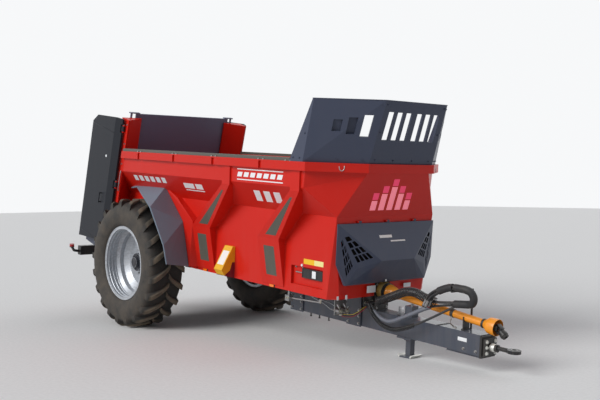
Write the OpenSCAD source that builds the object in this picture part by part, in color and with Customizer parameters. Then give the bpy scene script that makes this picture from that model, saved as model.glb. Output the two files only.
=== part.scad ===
// Single-axle manure spreader with two upright beaters, parked on its jack.
// Lengths are millimetres: x runs forward to the tow eye, y to the left, z up from the ground.
// The body is drawn level, with the axle at x = 0, and is then tipped nose down about the axle.

/* [Stance] */
// Angle by which the parked body leans nose down
nose_down = 3.7; // [3.4:0.1:4]

/* [Wheels] */
// Diameter of a tyre over its lugs
wheel_d = 1777; // [1760:1:1790]
// Height of the lugs
lug_h = 42; // [30:1:50]
// Width of a tyre over its sidewalls
tyre_w = 560; // [540:5:575]
// Clear gap between a tyre and the hopper's side
tyre_gap = 66.5; // [60:0.5:80]
// Diameter of the rim over its flanges
rim_d = 1024; // [1010:1:1040]
// Width of the rim between its flanges
rim_w = 434; // [420:1:450]
// Diameter of the axle's spindles
spindle_d = 90; // [80:1:100]

/* [Hopper] */
// Half width of the hopper below the waist
waist_y = 790; // [780:1:800]
// Height of the waist
waist_z = 1830; // [1820:1:1840]
// Half width of the hopper above the flare
band_y = 1050; // [1040:1:1060]
// Height of the top of the flare
band_z = 2140; // [2130:1:2150]
// Height of the underside of the rim
rim_z = 2330; // [2320:1:2340]
// Height of the lower edge of the sides
skirt_z = 900; // [890:1:905]
// Foremost point of the waist
nose_x = 3720; // [3700:5:3740]
// Thickness of the hopper's walls
wall = 45; // [40:1:50]
// Height of the rim
rim_h = 100; // [90:1:110]
// How far the rim stands out from the sides
rim_out = 50; // [45:1:55]
// Height of the floor's upper face
floor_z = 1160; // [1150:1:1170]
// Thickness of the floor
floor_t = 30; // [25:1:32]
// Height of the board on the front of the rim
board_h = 700; // [650:5:720]

/* [Rear frame] */
// Angle by which the rear frame leans forward
rear_lean = 13; // [12.5:0.1:13.5]
// Place of the gate at the frame's foot, ahead of the axle
gate_x = -1130; // [-1140:1:-1120]
// Height of the frame's foot
foot_z = 1000; // [995:1:1005]
// Length of the posts
post_l = 1975; // [1960:1:1985]
// Half of the clear width between the posts
gate_way = 800; // [795:1:805]
// Depth of a post
post_t = 195; // [185:1:200]
// Length of the gate's plate
gate_l = 1870; // [1860:1:1880]
// Thickness of the gate's plate
gate_t = 30; // [26:1:32]
// Lift of the gate
gate_lift = 1100; // [1000:10:1120]

/* [Beaters] */
// Distance between the beaters' shafts
beater_gap = 1000; // [996:1:1010]
// Radius over a beater's blades
beater_r = 430; // [420:1:440]
// Radius of a spreading disc
disc_r = 480; // [470:1:485]
// Diameter of a beater's tube
beater_tube_d = 140; // [120:1:150]

/* [Side doors] */
// Half width over the side doors
door_y = 1150; // [1145:1:1155]
// Thickness of a side door
door_t = 25; // [20:1:28]

/* [Drawbar] */
// Width of the drawbar's beam
bar_w = 200; // [190:1:210]
// Height of the drawbar's beam
bar_h = 222; // [215:1:225]
// Height of the beam's underside
bar_z = 505; // [500:1:510]
// Foremost point of the beam
bar_x = 5219; // [5210:1:5230]
// Radius of the tow eye's hole
eye_bore_r = 25.5; // [25:0.1:26]
// Outer radius of the tow eye
eye_r = 70; // [65:1:72]
// Place of the jack
jack_x = 4165; // [4150:5:4180]
// Width of the jack's leg
jack_w = 72; // [68:1:76]

/* [Hidden] */

$fn = 48;
wheel_r = wheel_d / 2;
track = 2 * (waist_y + tyre_gap) + tyre_w;   // between the centre planes of the wheels
axle_z = wheel_r;
red = [0.78, 0.13, 0.09];
grey = [0.23, 0.25, 0.29];
steel = [0.62, 0.63, 0.64];

// Places that the body's frame gives to its ends, on the ground's axes
eye_tip_x = 5634;
eye_z = 615;
function ground_x(x, z) = cos(nose_down) * x + sin(nose_down) * (z - axle_z);
beater_u = -510;                             // the beaters' shafts behind the gate
disc_w = 150;                                // height of the discs up the rear frame
front_end = ground_x(eye_tip_x, eye_z);
rear_end = ground_x(gate_x + (beater_u - disc_r) * cos(rear_lean) + disc_w * sin(rear_lean),
                    foot_z - (beater_u - disc_r) * sin(rear_lean) + disc_w * cos(rear_lean));
origin_x = (front_end + rear_end) / 2;

// The body's level frame, tipped about the axle
module on_body()
    translate([-origin_x, 0, axle_z]) rotate([0, nose_down, 0]) translate([0, 0, -axle_z]) children();

// The leaning rear frame: x is forward of the gate, z runs up the posts
module on_rear() on_body() translate([gate_x, 0, foot_z]) rotate([0, rear_lean, 0]) children();

module on_wheel(side) translate([-origin_x, side * track / 2, axle_z]) rotate([-90 * side, 0, 0]) children();

module both() {
    children();
    mirror([0, 1, 0]) children();
}

module block(low, high) translate(low) cube(high - low);

// A block that runs evenly to both sides of the middle
module bar(x, half_y, z) block([x[0], -half_y, z[0]], [x[1], half_y, z[1]]);

// The solid with flat faces round a set of corners
module facets(points)
    hull() polyhedron(points = points, faces = [for (i = [0:len(points) - 3]) [i, i + 1, i + 2]]);

function mirrored(points) = [for (side = [1, -1], p = points) [p[0], side * p[1], p[2]]];

function unit(v) = v / norm(v);

// Drawn on the plane through three points: x runs from the first to the second, z comes out of the plane
module on_face(a, b, c) {
    u = unit(b - a);
    n = unit(cross(u, c - a));
    v = cross(n, u);
    multmatrix([[u[0], v[0], n[0], a[0]], [u[1], v[1], n[1], a[1]], [u[2], v[2], n[2], a[2]]]) children();
}

// A four-cornered cell between two edges of a panel, from its shares along and up them
function cell(edge_a, edge_b, along, up) = [
    for (p = [[along[0], up[0]], [along[1], up[0]], [along[1], up[1]], [along[0], up[1]]])
        let (a = edge_a[0] + (edge_a[1] - edge_a[0]) * p[0], b = edge_b[0] + (edge_b[1] - edge_b[0]) * p[0])
        a + (b - a) * p[1]];

// Corners of the hopper's skin, drawn in by g
far_rear = -1500;
corner_back = 260;                           // the rim's corners behind the waist's nose
crease_y = 510;                              // half width of the front panel's head
crease_out = 161;                            // how far that head stands ahead of the nose
function waist_corner(g) = [nose_x - g, waist_y - g, waist_z];
function flare_corner(g) = [nose_x - corner_back - 20 - g, band_y - g, band_z];
function crease_corner(g) = [nose_x + crease_out - 6 - g, crease_y - g / 2, rim_z - 20];
function rim_corner(g) = [nose_x - corner_back - g, band_y - g, rim_z];
function crease_top(g) = [nose_x + crease_out - g, crease_y - g / 2, rim_z];

module hopper_form(g, low, high) {
    facets(mirrored([[far_rear, waist_y - g, low], [far_rear, waist_y - g, waist_z],
                     [nose_x - 120 - g, waist_y - g, low], [nose_x - 36 - g, 676 - g, low],
                     waist_corner(g)]));
    facets(mirrored([[far_rear, waist_y - g, waist_z], [far_rear, band_y - g, band_z],
                     waist_corner(g), flare_corner(g), crease_corner(g)]));
    facets(mirrored([[far_rear, band_y - g, band_z], [far_rear, band_y - g, rim_z],
                     flare_corner(g), crease_corner(g), rim_corner(g), crease_top(g)]));
    if (high > rim_z)
        translate([0, 0, rim_z]) linear_extrude(high - rim_z) rim_plan(-g);
}

// Plan of the hopper at the rim, grown by g
module rim_plan(g)
    polygon([for (side = [1, -1], k = side > 0 ? [0:2] : [2:-1:0])
        let (p = [[far_rear, band_y + g], [nose_x - corner_back + g, band_y + g],
                  [nose_x + crease_out + g, crease_y + g / 2]][k])
        [p[0], side * p[1]]]);

// What lies behind the posts' front faces
module behind_posts(u = post_t + 25)
    translate([gate_x, 0, foot_z]) rotate([0, rear_lean, 0])
        block([u - 2500, -1500, -1500], [u, 1500, 2500]);

axle_half_t = 70;                            // half of the axle beam's thickness
module hopper_shell() difference() {
    hopper_form(0, skirt_z, rim_z);
    hopper_form(wall, skirt_z - 1, rim_z + 1);
    behind_posts(25);
    translate([gate_x, 0, foot_z]) rotate([0, rear_lean, 0]) post_forms(200);
    bar([-axle_half_t, axle_half_t], band_y, [skirt_z - 2, axle_z + axle_half_t]);
}

split_x = nose_x - 170;                      // where the sides meet the front wall
module side_panel(side) intersection() {
    hopper_shell();
    block([-1400, side > 0 ? 300 : -1200, skirt_z - 1], [split_x, side > 0 ? 1200 : -300, rim_z + 1]);
}
// Recess for the level indicator, low on the right side
recess_x = [2970, 3525];
recess_z = [998, 1215];
recess_t = 38;
module side_right() color(red) on_body() difference() {
    side_panel(-1);
    block([recess_x[0], -waist_y - 1, recess_z[0]], [recess_x[1], -waist_y + recess_t, recess_z[1]]);
}
module side_left() color(red) on_body() side_panel(1);
// Way through the foot of the front wall for the input shaft, and the shelf over the front conveyor shaft
input_way = [125, 1085];
shelf_t = 20;
module front_wall() color(red) on_body() {
    shelf_z = floor_z + chain_t + slat_h + 10;
    difference() {
        intersection() {
            hopper_shell();
            bar([split_x, nose_x + 400], 1200, [skirt_z - 1, rim_z + 1]);
        }
        bar([split_x - 30, nose_x + 50], input_way[0], [skirt_z - 2, input_way[1]]);
    }
    bar([split_x + 5, nose_x - 80], waist_y - wall - 60, [shelf_z, shelf_z + shelf_t]);
    for (y = cover_knuckles) translate([cover_hinge[0], y, cover_hinge[1]]) {
        for (side = [-1, 1]) translate([0, side * (knuckle_w / 2 + lug_gap), 0]) {
            rotate([-90 * side, 0, 0]) cylinder(r = 10, h = 20);
            block([-25, side > 0 ? 0 : -20, -5], [0, side > 0 ? 20 : 0, 5]);
        }
        rotate([90, 0, 0]) cylinder(r = 5, h = knuckle_w + 2, center = true);
    }
}

// Ribs: place at the knee, at the rim, and the width of each
ribs = [[1020, 1910], [2440, 3230]];
rib_knee_w = 410;
rib_top_w = 160;
rib_stations = [[0, rib_knee_w, waist_y + 10, skirt_z + 35], [0, rib_knee_w, waist_y + 110, 1500],
                [1, rib_top_w, band_y + 20, band_z - 40], [1, rib_top_w, band_y + 20, rim_z]];
weld_gap = 0.05;                             // seam where a pressing meets the hopper
rib_root = waist_y - 60;                     // depth to which a rib is drawn into the hopper
// Web between a fender and the first rib: its corners along the fender, and along its front edge
web_rear = [[264, 862, 1965], [792, 900, 1530], [991, 913, 942]];
web_front = [[580, 866, 1834], [1030, 897, 1545], [1030, 803, 942]];
module ribs_on(side) color(red) on_body() difference() {
    union() {
        for (r = ribs, k = [0:2])
            facets([for (s = [rib_stations[k], rib_stations[k + 1]], x = [0, s[1]], inner = [0, 1])
                [r[s[0]] + x, side * (inner ? rib_root : s[2]), s[3]]]);
        for (k = [0, 1])
            facets([for (p = [web_rear[k], web_rear[k + 1], web_front[k], web_front[k + 1]], inner = [0, 1])
                [p[0], side * (inner ? rib_root : p[1]), p[2]]]);
    }
    hopper_form(-weld_gap, skirt_z - 5, rim_z);
}
module ribs_right() ribs_on(-1);
module ribs_left() ribs_on(1);

rim_joints = [-86, 828, 1740, 2702];         // where lengths of the rim's flange meet
rim_joint_w = 54;
rim_joint_t = 22;                            // depth of the gap between two lengths
rim_top_t = 14;                              // plate left across the gap
module rim() color(red) on_body() difference() {
    translate([0, 0, rim_z]) linear_extrude(rim_h) difference() {
        rim_plan(rim_out);
        rim_plan(-wall);
    }
    behind_posts();
    both() for (x = rim_joints)
        block([x - rim_joint_w / 2, band_y + rim_out - rim_joint_t, rim_z - 1],
              [x + rim_joint_w / 2, band_y + rim_out + 1, rim_z + rim_h - rim_top_t]);
}

rail_w = 60;
rail_h = 40;
rail_front_x = nose_x - 500;
module top_rails() color([0.42, 0.42, 0.36]) on_body() difference() {
    both() block([-900, band_y - rail_w / 2, board_z], [rail_front_x, band_y + rail_w / 2, board_z + rail_h]);
    behind_posts();
}

// Headboard: lower and upper edge of each panel, from the middle to the rear flap
board_t = 25;
board_z = rim_z + rim_h;
board_foot = 190;                            // foot of the board ahead of the hopper's nose
board_lean = 217;                            // how far its head leans forward of its foot
board_half = [518, 494];                     // half widths of the middle panel at its foot and head
board_side = [band_y + rim_out - 5, band_y + 5];
board_end = [corner_back + 230, corner_back - 95];
board_low = [[nose_x + board_foot, 0], [nose_x + board_foot, board_half[0]],
             [nose_x - corner_back, board_side[0]], [nose_x - board_end[0], board_side[0]]];
board_top = [[nose_x + board_foot + board_lean, 0], [nose_x + board_foot + board_lean, board_half[1]],
             [nose_x - board_end[1] + 15, board_side[1]], [nose_x - board_end[1], board_side[1]]];
board_in = [[-1, 0], [-0.82, -0.57], [-0.45, -0.9], [0, -1]];
function board_edge(k, side) = [for (p = [[board_low[k], 0], [board_top[k], board_h]])
    [p[0][0], side * p[0][1], board_z + p[1]]];
// Windows in each panel: the panel, its shares along the panel, and the shares up it
board_windows = [
    [0, [0.08, 0.27], [0.38, 0.82]], [0, [0.36, 0.55], [0.38, 0.82]], [0, [0.64, 0.83], [0.38, 0.82]],
    [1, [0.12, 0.25], [0.42, 0.76]], [1, [0.33, 0.46], [0.46, 0.72]], [1, [0.54, 0.67], [0.5, 0.68]]];
module headboard() color(grey) on_body() difference() {
    for (side = [-1, 1], k = [0:2])
        facets([for (j = [k, k + 1], t = [0, board_t], e = [0, 1])
            let (p = e ? board_top[j] : board_low[j])
            [p[0] + board_in[j][0] * t, side * (p[1] + board_in[j][1] * t), board_z + e * board_h]]);
    for (w = board_windows) both() window(w[0], w[1], w[2]);
}
module window(k, along, up) {
    low = [board_edge(k, 1)[0], board_edge(k + 1, 1)[0]];
    high = [board_edge(k, 1)[1], board_edge(k + 1, 1)[1]];
    corners = cell(low, high, along, up);
    origin = low[0];
    u = unit(low[1] - low[0]);
    n = unit(cross(u, high[0] - low[0]));
    v = cross(n, u);
    on_face(low[0], low[1], high[0]) translate([0, 0, -2 * board_t]) linear_extrude(4 * board_t)
        polygon([for (p = corners) [(p - origin) * u, (p - origin) * v]]);
}

// Fender: corners along the inner and the outer edge, from the rear to the front foot
fender_in = [[-700, 860, 1890], [-530, 862, 1925], [260, 862, 1950], [780, 900, 1520], [975, 915, 940]];
fender_out = [[-640, 880, 1895], [-450, 900, 1915], [600, 1300, 1710], [960, 1300, 1240], [1050, 1300, 1000]];
fender_t = 12;
module fender(side) color([0.42, 0.41, 0.47]) on_body() difference() {
    for (k = [0:3])
        facets([for (p = [fender_in[k], fender_in[k + 1], fender_out[k], fender_out[k + 1]],
                     t = [0, fender_t]) let (r = norm([p[0], p[2] - axle_z]))
            [p[0] * (1 + t / r), side * p[1], axle_z + (p[2] - axle_z) * (1 + t / r)]]);
    hopper_form(-weld_gap, skirt_z - 5, rim_z);
    behind_posts(post_t + 30);
}
module fender_right() fender(-1);
module fender_left() fender(1);

// Running gear and chassis
rail_t = 80;
rail_y = waist_y - wall;                     // outer faces of the rails, against the sides
rail_z = [axle_z + axle_half_t, floor_z - floor_t];
rail_rear = -1330;
cross_h = 75;
bracket_x = [2300, 3350];                    // where brackets carry the drawbar
bracket_half = 120;
cross_x = [-820, 700, bracket_x[0], bracket_x[1]];
module chassis() color(grey) on_body() difference() {
    union() {
        both() block([rail_rear, rail_y - rail_t, rail_z[0]], [split_x, rail_y, rail_z[1]]);
        for (x = cross_x) bar([x - 60, x + 60], rail_y, [rail_z[0] - cross_h, rail_z[0]]);
        for (x = bracket_x)
            both() block([x - bracket_half, bar_w / 2, bar_z - 10],
                         [x + bracket_half, bar_w / 2 + 16, rail_z[0] - cross_h]);
    }
    for (x = shaft_x) translate([x, 0, shaft_z]) rotate([90, 0, 0])
        cylinder(d = shaft_d + 1, h = 3000, center = true);
}

axle_half = waist_y;
module axle() color([0.1, 0.1, 0.11]) {
    on_body() bar([-axle_half_t, axle_half_t], axle_half, [axle_z - axle_half_t, axle_z + axle_half_t]);
    for (side = [-1, 1]) on_wheel(side)
        translate([0, 0, axle_half - track / 2]) cylinder(d = spindle_d, h = track / 2 - axle_half + 40);
}

// Tyre: rings from the middle of the tread to the bead and the hollow within. Each has the radius and the
// place across of its lugs, the same of the voids between them, the lugs' sweep, and how far they widen
bead_r = rim_d / 2 - 28;
bead_gap = 2;                                // room on the rim for the tyre's straight chords
rim_t = 10;
shoulder_r = wheel_r - lug_h;
lug_pairs = 21;
lug_turn = 5.5;                              // angle over the top of a lug
lug_ramp = 1.2;                              // angle over each flank of a lug
tyre_rings = [
    [shoulder_r, 0, shoulder_r, 0, 0, 0],
    [wheel_r, 12, shoulder_r, 6, 0, 0],
    [wheel_r - 17, tyre_w / 2 - 22, shoulder_r - 28, tyre_w / 2 - 35, 12.5, 0.7],
    [wheel_r - 124, tyre_w / 2 - 2, wheel_r - 134, tyre_w / 2 - 18, 13.5, 0.9],
    [rim_d / 2 + 128, tyre_w / 2, rim_d / 2 + 128, tyre_w / 2, 13.5, 0],
    [rim_d / 2 + 6, rim_w / 2 - rim_t + 0.4, rim_d / 2 + 6, rim_w / 2 - rim_t + 0.4, 13.5, 0],
    [bead_r + bead_gap, rim_w / 2 - rim_t - 4.5, bead_r + bead_gap, rim_w / 2 - rim_t - 4.5, 13.5, 0],
    [wheel_r - 90, tyre_w / 2 - 70, wheel_r - 90, tyre_w / 2 - 70, 13.5, 0]];
lug_pitch = 360 / lug_pairs;
lugs_out = [0, lug_turn, lug_turn + lug_ramp, lug_pitch - lug_ramp];
lugs_in = [for (a = [lugs_out[2], lugs_out[3], lug_pitch, lug_pitch + lug_turn]) a - lug_pitch / 2];
widening = [-1, 1, 1, -1];
function tyre_point(i, half, k) = let (
    f = tyre_rings[i],
    c = k % 4,
    top = (c < 2) == (half > 0),
    start = i == 0 ? (lugs_out[c] + lugs_in[c]) / 2 : half > 0 ? lugs_out[c] : lugs_in[c],
    a = start + floor(k / 4) * lug_pitch + f[4] + half * widening[c] * f[5],
    r = top ? f[0] : f[2])
    [r * cos(a), r * sin(a), half * (top ? f[1] : f[3])];
module tyre_body() {
    last = len(tyre_rings) - 1;
    n = 4 * lug_pairs;
    rings = [for (i = [0:last]) [i, 1], for (i = [last:-1:1]) [i, -1]];
    count = len(rings);
    polyhedron([for (ring = rings, k = [0:n - 1]) tyre_point(ring[0], ring[1], k)],
        [for (i = [0:count - 1], k = [0:n - 1]) let (
            next = (i + 1) % count * n,
            a = i * n + k, b = i * n + (k + 1) % n, c = next + (k + 1) % n, d = next + k)
            each [[a, d, b], [b, d, c]]]);
}
module tyre(side) color([0.09, 0.085, 0.08]) mirror([0, side > 0 ? 0 : 1, 0]) on_wheel(1) tyre_body();
module tyre_right() tyre(-1);
module tyre_left() tyre(1);

// Wheel rim with its disc set inboard, and the hub that turns on the spindle
disc_out = -95;
disc_t = 14;
hub_r = 125;
well_t = 45;                                 // depth of the rim's well
module wheel_rim(side) color([0.75, 0.76, 0.77]) on_wheel(side) difference() {
    union() {
        rotate_extrude($fn = 72) polygon([
            [rim_d / 2, -rim_w / 2], [rim_d / 2, -rim_w / 2 + rim_t],
            [bead_r, -rim_w / 2 + rim_t + 4], [bead_r, -60],
            [bead_r - well_t, -40], [bead_r - well_t, 20], [bead_r, 60], [bead_r, rim_w / 2 - rim_t - 4],
            [rim_d / 2, rim_w / 2 - rim_t], [rim_d / 2, rim_w / 2], [bead_r - rim_t, rim_w / 2],
            [bead_r - rim_t, 66], [bead_r - well_t - rim_t, 26], [bead_r - well_t - rim_t, -46],
            [bead_r - rim_t, -66], [bead_r - rim_t, -rim_w / 2]]);
        translate([0, 0, disc_out]) rotate_extrude($fn = 72) polygon([
            [hub_r - 5, 0], [bead_r - 150, 0], [bead_r - 60, 52], [bead_r - 50, 52],
            [bead_r - 50, 52 + disc_t], [bead_r - 64, 52 + disc_t], [bead_r - 154, disc_t],
            [hub_r - 5, disc_t]]);
        translate([0, 0, disc_out - 30]) cylinder(r = hub_r, h = 130);
        translate([0, 0, disc_out + 100]) cylinder(r1 = 80, r2 = 70, h = 40);
    }
    translate([0, 0, disc_out - 31]) cylinder(d = spindle_d + 0.1, h = -disc_out + 31 + 45);
}
module rim_right() wheel_rim(-1);
module rim_left() wheel_rim(1);

bar_rear = bracket_x[0] - bracket_half;
bar_t = 10;                                  // wall of the beam
shoe_l = 449;                                // length of the skid plate under its nose
shoe_t = 25;
module drawbar() color([0.33, 0.35, 0.40]) on_body() difference() {
    union() {
        bar([bar_rear, bar_x], bar_w / 2, [bar_z, bar_z + bar_h]);
        bar([bar_x - 20 - shoe_l, bar_x - 20], bar_w / 2 - 30, [bar_z - shoe_t, bar_z]);
    }
    bar([bar_rear + bar_t, bar_x - bar_t], bar_w / 2 - bar_t, [bar_z + bar_t, bar_z + bar_h - bar_t]);
    bar([jack_x - sleeve_half, jack_x + sleeve_half], sleeve_half, [bar_z - 1, bar_z + bar_h + 1]);
}

plate_t = 26;
module hitch_plate() color([0.06, 0.06, 0.07]) on_body()
    bar([bar_x, bar_x + plate_t], bar_w / 2 + 15, [bar_z - 15, bar_z + bar_h - 7]);

eye_x = eye_tip_x - eye_r;
eye_t = 34;
module tow_eye() color([0.12, 0.12, 0.12]) on_body() difference() {
    union() {
        bar([bar_x + plate_t, bar_x + plate_t + 30], 95, [bar_z + 10, bar_z + 190]);
        translate([bar_x + plate_t + 30, 0, bar_z + 100]) rotate([0, 90, 0]) cylinder(d = 80, h = 90);
        translate([bar_x + plate_t + 120, 0, eye_z - 5]) rotate([0, 90, 0])
            cylinder(d = 46, h = eye_x - bar_x - plate_t - 150);
        translate([eye_x, 0, eye_z - eye_t / 2]) cylinder(r = eye_r, h = eye_t);
    }
    translate([eye_x, 0, eye_z - eye_t]) cylinder(r = eye_bore_r, h = 2 * eye_t);
}

sleeve_top = 850;
sleeve_half = jack_w / 2 + 17;
jack_gap = 0.5;                              // sliding fit of the leg in its sleeve
bore_half = jack_w / 2 + jack_gap;
module jack_sleeve() color(grey) on_body() difference() {
    union() {
        bar([jack_x - sleeve_half, jack_x + sleeve_half], sleeve_half, [bar_z - 45, sleeve_top]);
        bar([jack_x - 105, jack_x + 105], 115, [bar_z - 20, bar_z]);
    }
    bar([jack_x - bore_half, jack_x + bore_half], bore_half, [bar_z - 46, sleeve_top - 10]);
}

jack_lift = 160;
leg_t = 8;                                   // wall of the leg's tube
module leg_form(half, top, low) bar([jack_x - half, jack_x + half], half, [low, top]);
foot_t = 18;
foot_half = 85;
module jack_leg() color(grey) {
    difference() {
        on_body() leg_form(jack_w / 2, sleeve_top - jack_lift - 30, 180);
        on_body() leg_form(jack_w / 2 - leg_t, sleeve_top - jack_lift - 30 - leg_t, 100);
        block([-9000, -500, -900], [9000, 500, foot_t]);
    }
    translate([ground_x(jack_x, 250) - origin_x, 0, 0]) rotate([90, 0, 0])
        linear_extrude(2 * foot_half, center = true) polygon([[-80, 0], [80, 0], [105, 26], [94, 36],
            [74, foot_t], [-74, foot_t], [-94, 36], [-105, 26]]);
}

// Conveyor: a shaft at each end, four chains over the floor, and the slats on them
shaft_d = 55;
sprocket_r = 70;
shaft_z = floor_z - sprocket_r;
chain_t = 22;
shaft_x = [-960, nose_x - 320];              // rear and front shaft
chain_y = [170, 560];
slat_h = 25;
slat_half = rail_y - rail_t - 15;
chain_r = sprocket_r + chain_t;
module floor() color([0.30, 0.30, 0.32]) on_body()
    bar([shaft_x[0] + sprocket_r, shaft_x[1] - sprocket_r], waist_y - wall, [floor_z - floor_t, floor_z]);
module conveyor_shafts() color([0.2, 0.2, 0.21]) on_body() for (x = shaft_x)
    translate([x, 0, shaft_z]) rotate([90, 0, 0]) {
        cylinder(d = shaft_d, h = 2 * (waist_y - wall), center = true);
        for (y = chain_y, side = [-1, 1]) translate([0, 0, side * y])
            cylinder(r = sprocket_r, h = 20, center = true);
    }
module chain_loop(r) {
    for (x = shaft_x) translate([x, shaft_z]) circle(r = r);
    translate([shaft_x[0], shaft_z - r]) square([shaft_x[1] - shaft_x[0], 2 * r]);
}
module conveyor_chains() color([0.25, 0.23, 0.22]) on_body() for (y = chain_y, side = [-1, 1])
    translate([0, side * y + 15, 0]) rotate([90, 0, 0]) linear_extrude(30) difference() {
        chain_loop(chain_r);
        chain_loop(sprocket_r);
    }
slat_count = 12;
module conveyor_slats() color([0.35, 0.33, 0.32]) on_body()
    for (k = [0:slat_count - 1], z = [shaft_z + chain_r, shaft_z - chain_r - slat_h])
        let (x = shaft_x[0] + 60 + k * (shaft_x[1] - shaft_x[0] - 120) / (slat_count - 1))
        bar([x - 25, x + 25], slat_half, [z, z + slat_h]);

// Rear posts: the gate's channels behind them, and the lugs that carry the side doors
post_in = waist_y - wall;
lug_w = [200, 950, post_l - 185];            // places of the door's knuckles up the post
knuckle_l = 80;
knuckle_r = 14;
pin_r = 7;
lug_t = 14;
lug_gap = 0.5;
module post_forms(longer = 0) both() translate([0, 0, -120 - longer]) linear_extrude(post_l + 120 + longer)
    polygon([[25 - longer, post_in], [50, post_in], [25 + post_t, band_y - 25],
             [25 + post_t, band_y + longer / 4], [25 - longer, band_y + longer / 4]]);
module rear_posts() color(red) on_rear() {
    post_forms();
    both() {
        block([-40, gate_way + 30, -60], [25, gate_way + 42, post_l - 20]);
        block([-40, gate_way, -60], [-28, gate_way + 30, post_l - 20]);
        for (w = lug_w) {
            for (z = [w - lug_gap - lug_t, w + knuckle_l + lug_gap])
                block([hinge_u - knuckle_r, band_y, z],
                      [hinge_u + knuckle_r, hinge_y + knuckle_r, z + lug_t]);
            translate([hinge_u, hinge_y, w - lug_gap - 1])
                cylinder(r = pin_r, h = knuckle_l + 2 * lug_gap + 2);
        }
    }
    bar([25, 50], post_in, [-120, -60]);
}

cyl_y = gate_way + 88;
cyl_low = 480;
cyl_top = cyl_low + gate_lift + 140;
rod_r = 16;
cyl_r = 32;
cyl_u = -12;
module gate_cylinders() color([0.08, 0.08, 0.09]) on_rear() both() {
    translate([cyl_u, cyl_y, 0]) rotate_extrude() polygon([
        [0, cyl_low - 70], [20, cyl_low - 70], [20, cyl_low], [cyl_r, cyl_low], [cyl_r, cyl_top],
        [rod_r + 0.5, cyl_top], [rod_r + 0.5, cyl_top - 40], [cyl_r - 8, cyl_top - 40],
        [cyl_r - 8, cyl_low + 30], [0, cyl_low + 30]]);
    block([cyl_u - 26, gate_way + 42, cyl_low - 80], [25, cyl_y + 36, cyl_low - 60]);
}

gate_half = gate_way + 20;
gate_foot = 165;
module gate() color([0.22, 0.20, 0.24]) on_rear() {
    bar([-gate_t / 2, gate_t / 2], gate_half, [gate_foot, gate_foot + gate_l]);
    both() {
        block([-40, gate_half - 60, gate_foot + gate_l], [gate_t / 2, cyl_y + 30, gate_foot + gate_l + 14]);
        translate([cyl_u, cyl_y, cyl_low + 65]) cylinder(r = rod_r, h = gate_foot + gate_l - cyl_low - 65);
    }
}

// Frame that carries the beaters, with the gearboxes under the discs
arm_in = band_y - 80;
beam_u = [beater_u - 90, beater_u + 90];
beam_w = [-110, 1700];
beam_h = 90;
journal_d = 60;
module beater_frame() color(grey) on_rear() difference() {
    union() {
        both() for (w = beam_w) block([beam_u[0], arm_in, w], [25, band_y, w + beam_h]);
        for (w = beam_w) bar(beam_u, arm_in, [w, w + beam_h]);
    }
    both() translate([beater_u, beater_gap / 2, beam_w[1] - 1]) cylinder(d = journal_d + 0.1, h = 71);
}
module gearbox_form() {
    both() translate([beater_u, beater_gap / 2, beam_w[0] + beam_h]) cylinder(r1 = 120, r2 = 90, h = 130);
    bar([beater_u - 60, beater_u + 60], beater_gap / 2 - 100, [beam_w[0] + beam_h, beam_w[0] + beam_h + 80]);
    bar([beater_u + 110, beater_u + 220], 90, [-330, beam_w[0] + beam_h + 80]);
    bar([beater_u, beater_u + 120], 90, [beam_w[0] + beam_h, beam_w[0] + beam_h + 80]);
}
module beater_gearbox() color([0.16, 0.16, 0.17]) on_rear() {
    gearbox_form();
    both() translate([beater_u, beater_gap / 2, 100]) cylinder(d = journal_d, h = 90);
}

// Each beater: two helical flights round a tube, cutting blades on their edges, and the disc below
tube_w = [111, beam_w[1] - 1];
flight_w = [290, 1640];                      // foot and head of the flights
flight_pitch = 760;
flight_r = beater_r - 95;
flight_t = 12;
flight_steps = 18;                           // steps in one turn
blade_turn = 60;                             // turn between neighbouring blades on a flight
blade_half = 42;                             // half of a blade's width at its root
paddle_h = 80;                               // height of the paddles on a disc
module flight(side) {
    n = floor((flight_w[1] - flight_w[0]) / flight_pitch * flight_steps);
    root = beater_tube_d / 2 - 12;
    points = [for (k = [0:n], c = [[root, 0], [flight_r, 0], [flight_r, flight_t], [root, flight_t]])
        let (a = -side * k * 360 / flight_steps)
        [c[0] * cos(a), c[0] * sin(a), flight_w[0] + k * flight_pitch / flight_steps + c[1]]];
    walls = [for (k = [0:n - 1], c = [0:3]) let (a = 4 * k + c, b = 4 * k + (c + 1) % 4)
        each (side > 0 ? [[a, b + 4, b], [a, a + 4, b + 4]] : [[a, b, b + 4], [a, b + 4, a + 4]])];
    ends = side > 0 ? [[0, 1, 2, 3], [4 * n + 3, 4 * n + 2, 4 * n + 1, 4 * n]]
                    : [[3, 2, 1, 0], [4 * n, 4 * n + 1, 4 * n + 2, 4 * n + 3]];
    polyhedron(points, concat(walls, ends));
}
module beater(side) color(red) on_rear() translate([beater_u, side * beater_gap / 2, 0]) {
    difference() {
        union() {
            translate([0, 0, tube_w[0]]) cylinder(d = beater_tube_d, h = tube_w[1] - tube_w[0]);
            translate([0, 0, tube_w[1]]) cylinder(d = journal_d, h = 60);
            translate([0, 0, disc_w]) cylinder(r = disc_r, h = 10, $fn = 64);
            for (start = [0, 180]) rotate([0, 0, start]) {
                flight(side);
                for (a = [blade_turn / 2:blade_turn:(flight_w[1] - flight_w[0]) / flight_pitch * 360 - 10])
                    translate([0, 0, flight_w[0] + a / 360 * flight_pitch]) rotate([0, 0, -side * a]) {
                        block([flight_r - 70, -blade_half, flight_t - 14],
                              [flight_r + 25, blade_half, flight_t + 6]);
                        block([flight_r + 25, 12 - blade_half, flight_t - 14],
                              [beater_r, blade_half - 12, flight_t + 6]);
                    }
            }
            for (turn = [45:90:315]) rotate([0, 0, turn])
                block([60, -6, disc_w + 10], [disc_r - 15, 6, disc_w + 10 + paddle_h]);
        }
        translate([0, 0, tube_w[0] - 1]) cylinder(d = journal_d + 0.1, h = 100);
    }
}
module beater_right() beater(-1);
module beater_left() beater(1);

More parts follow.
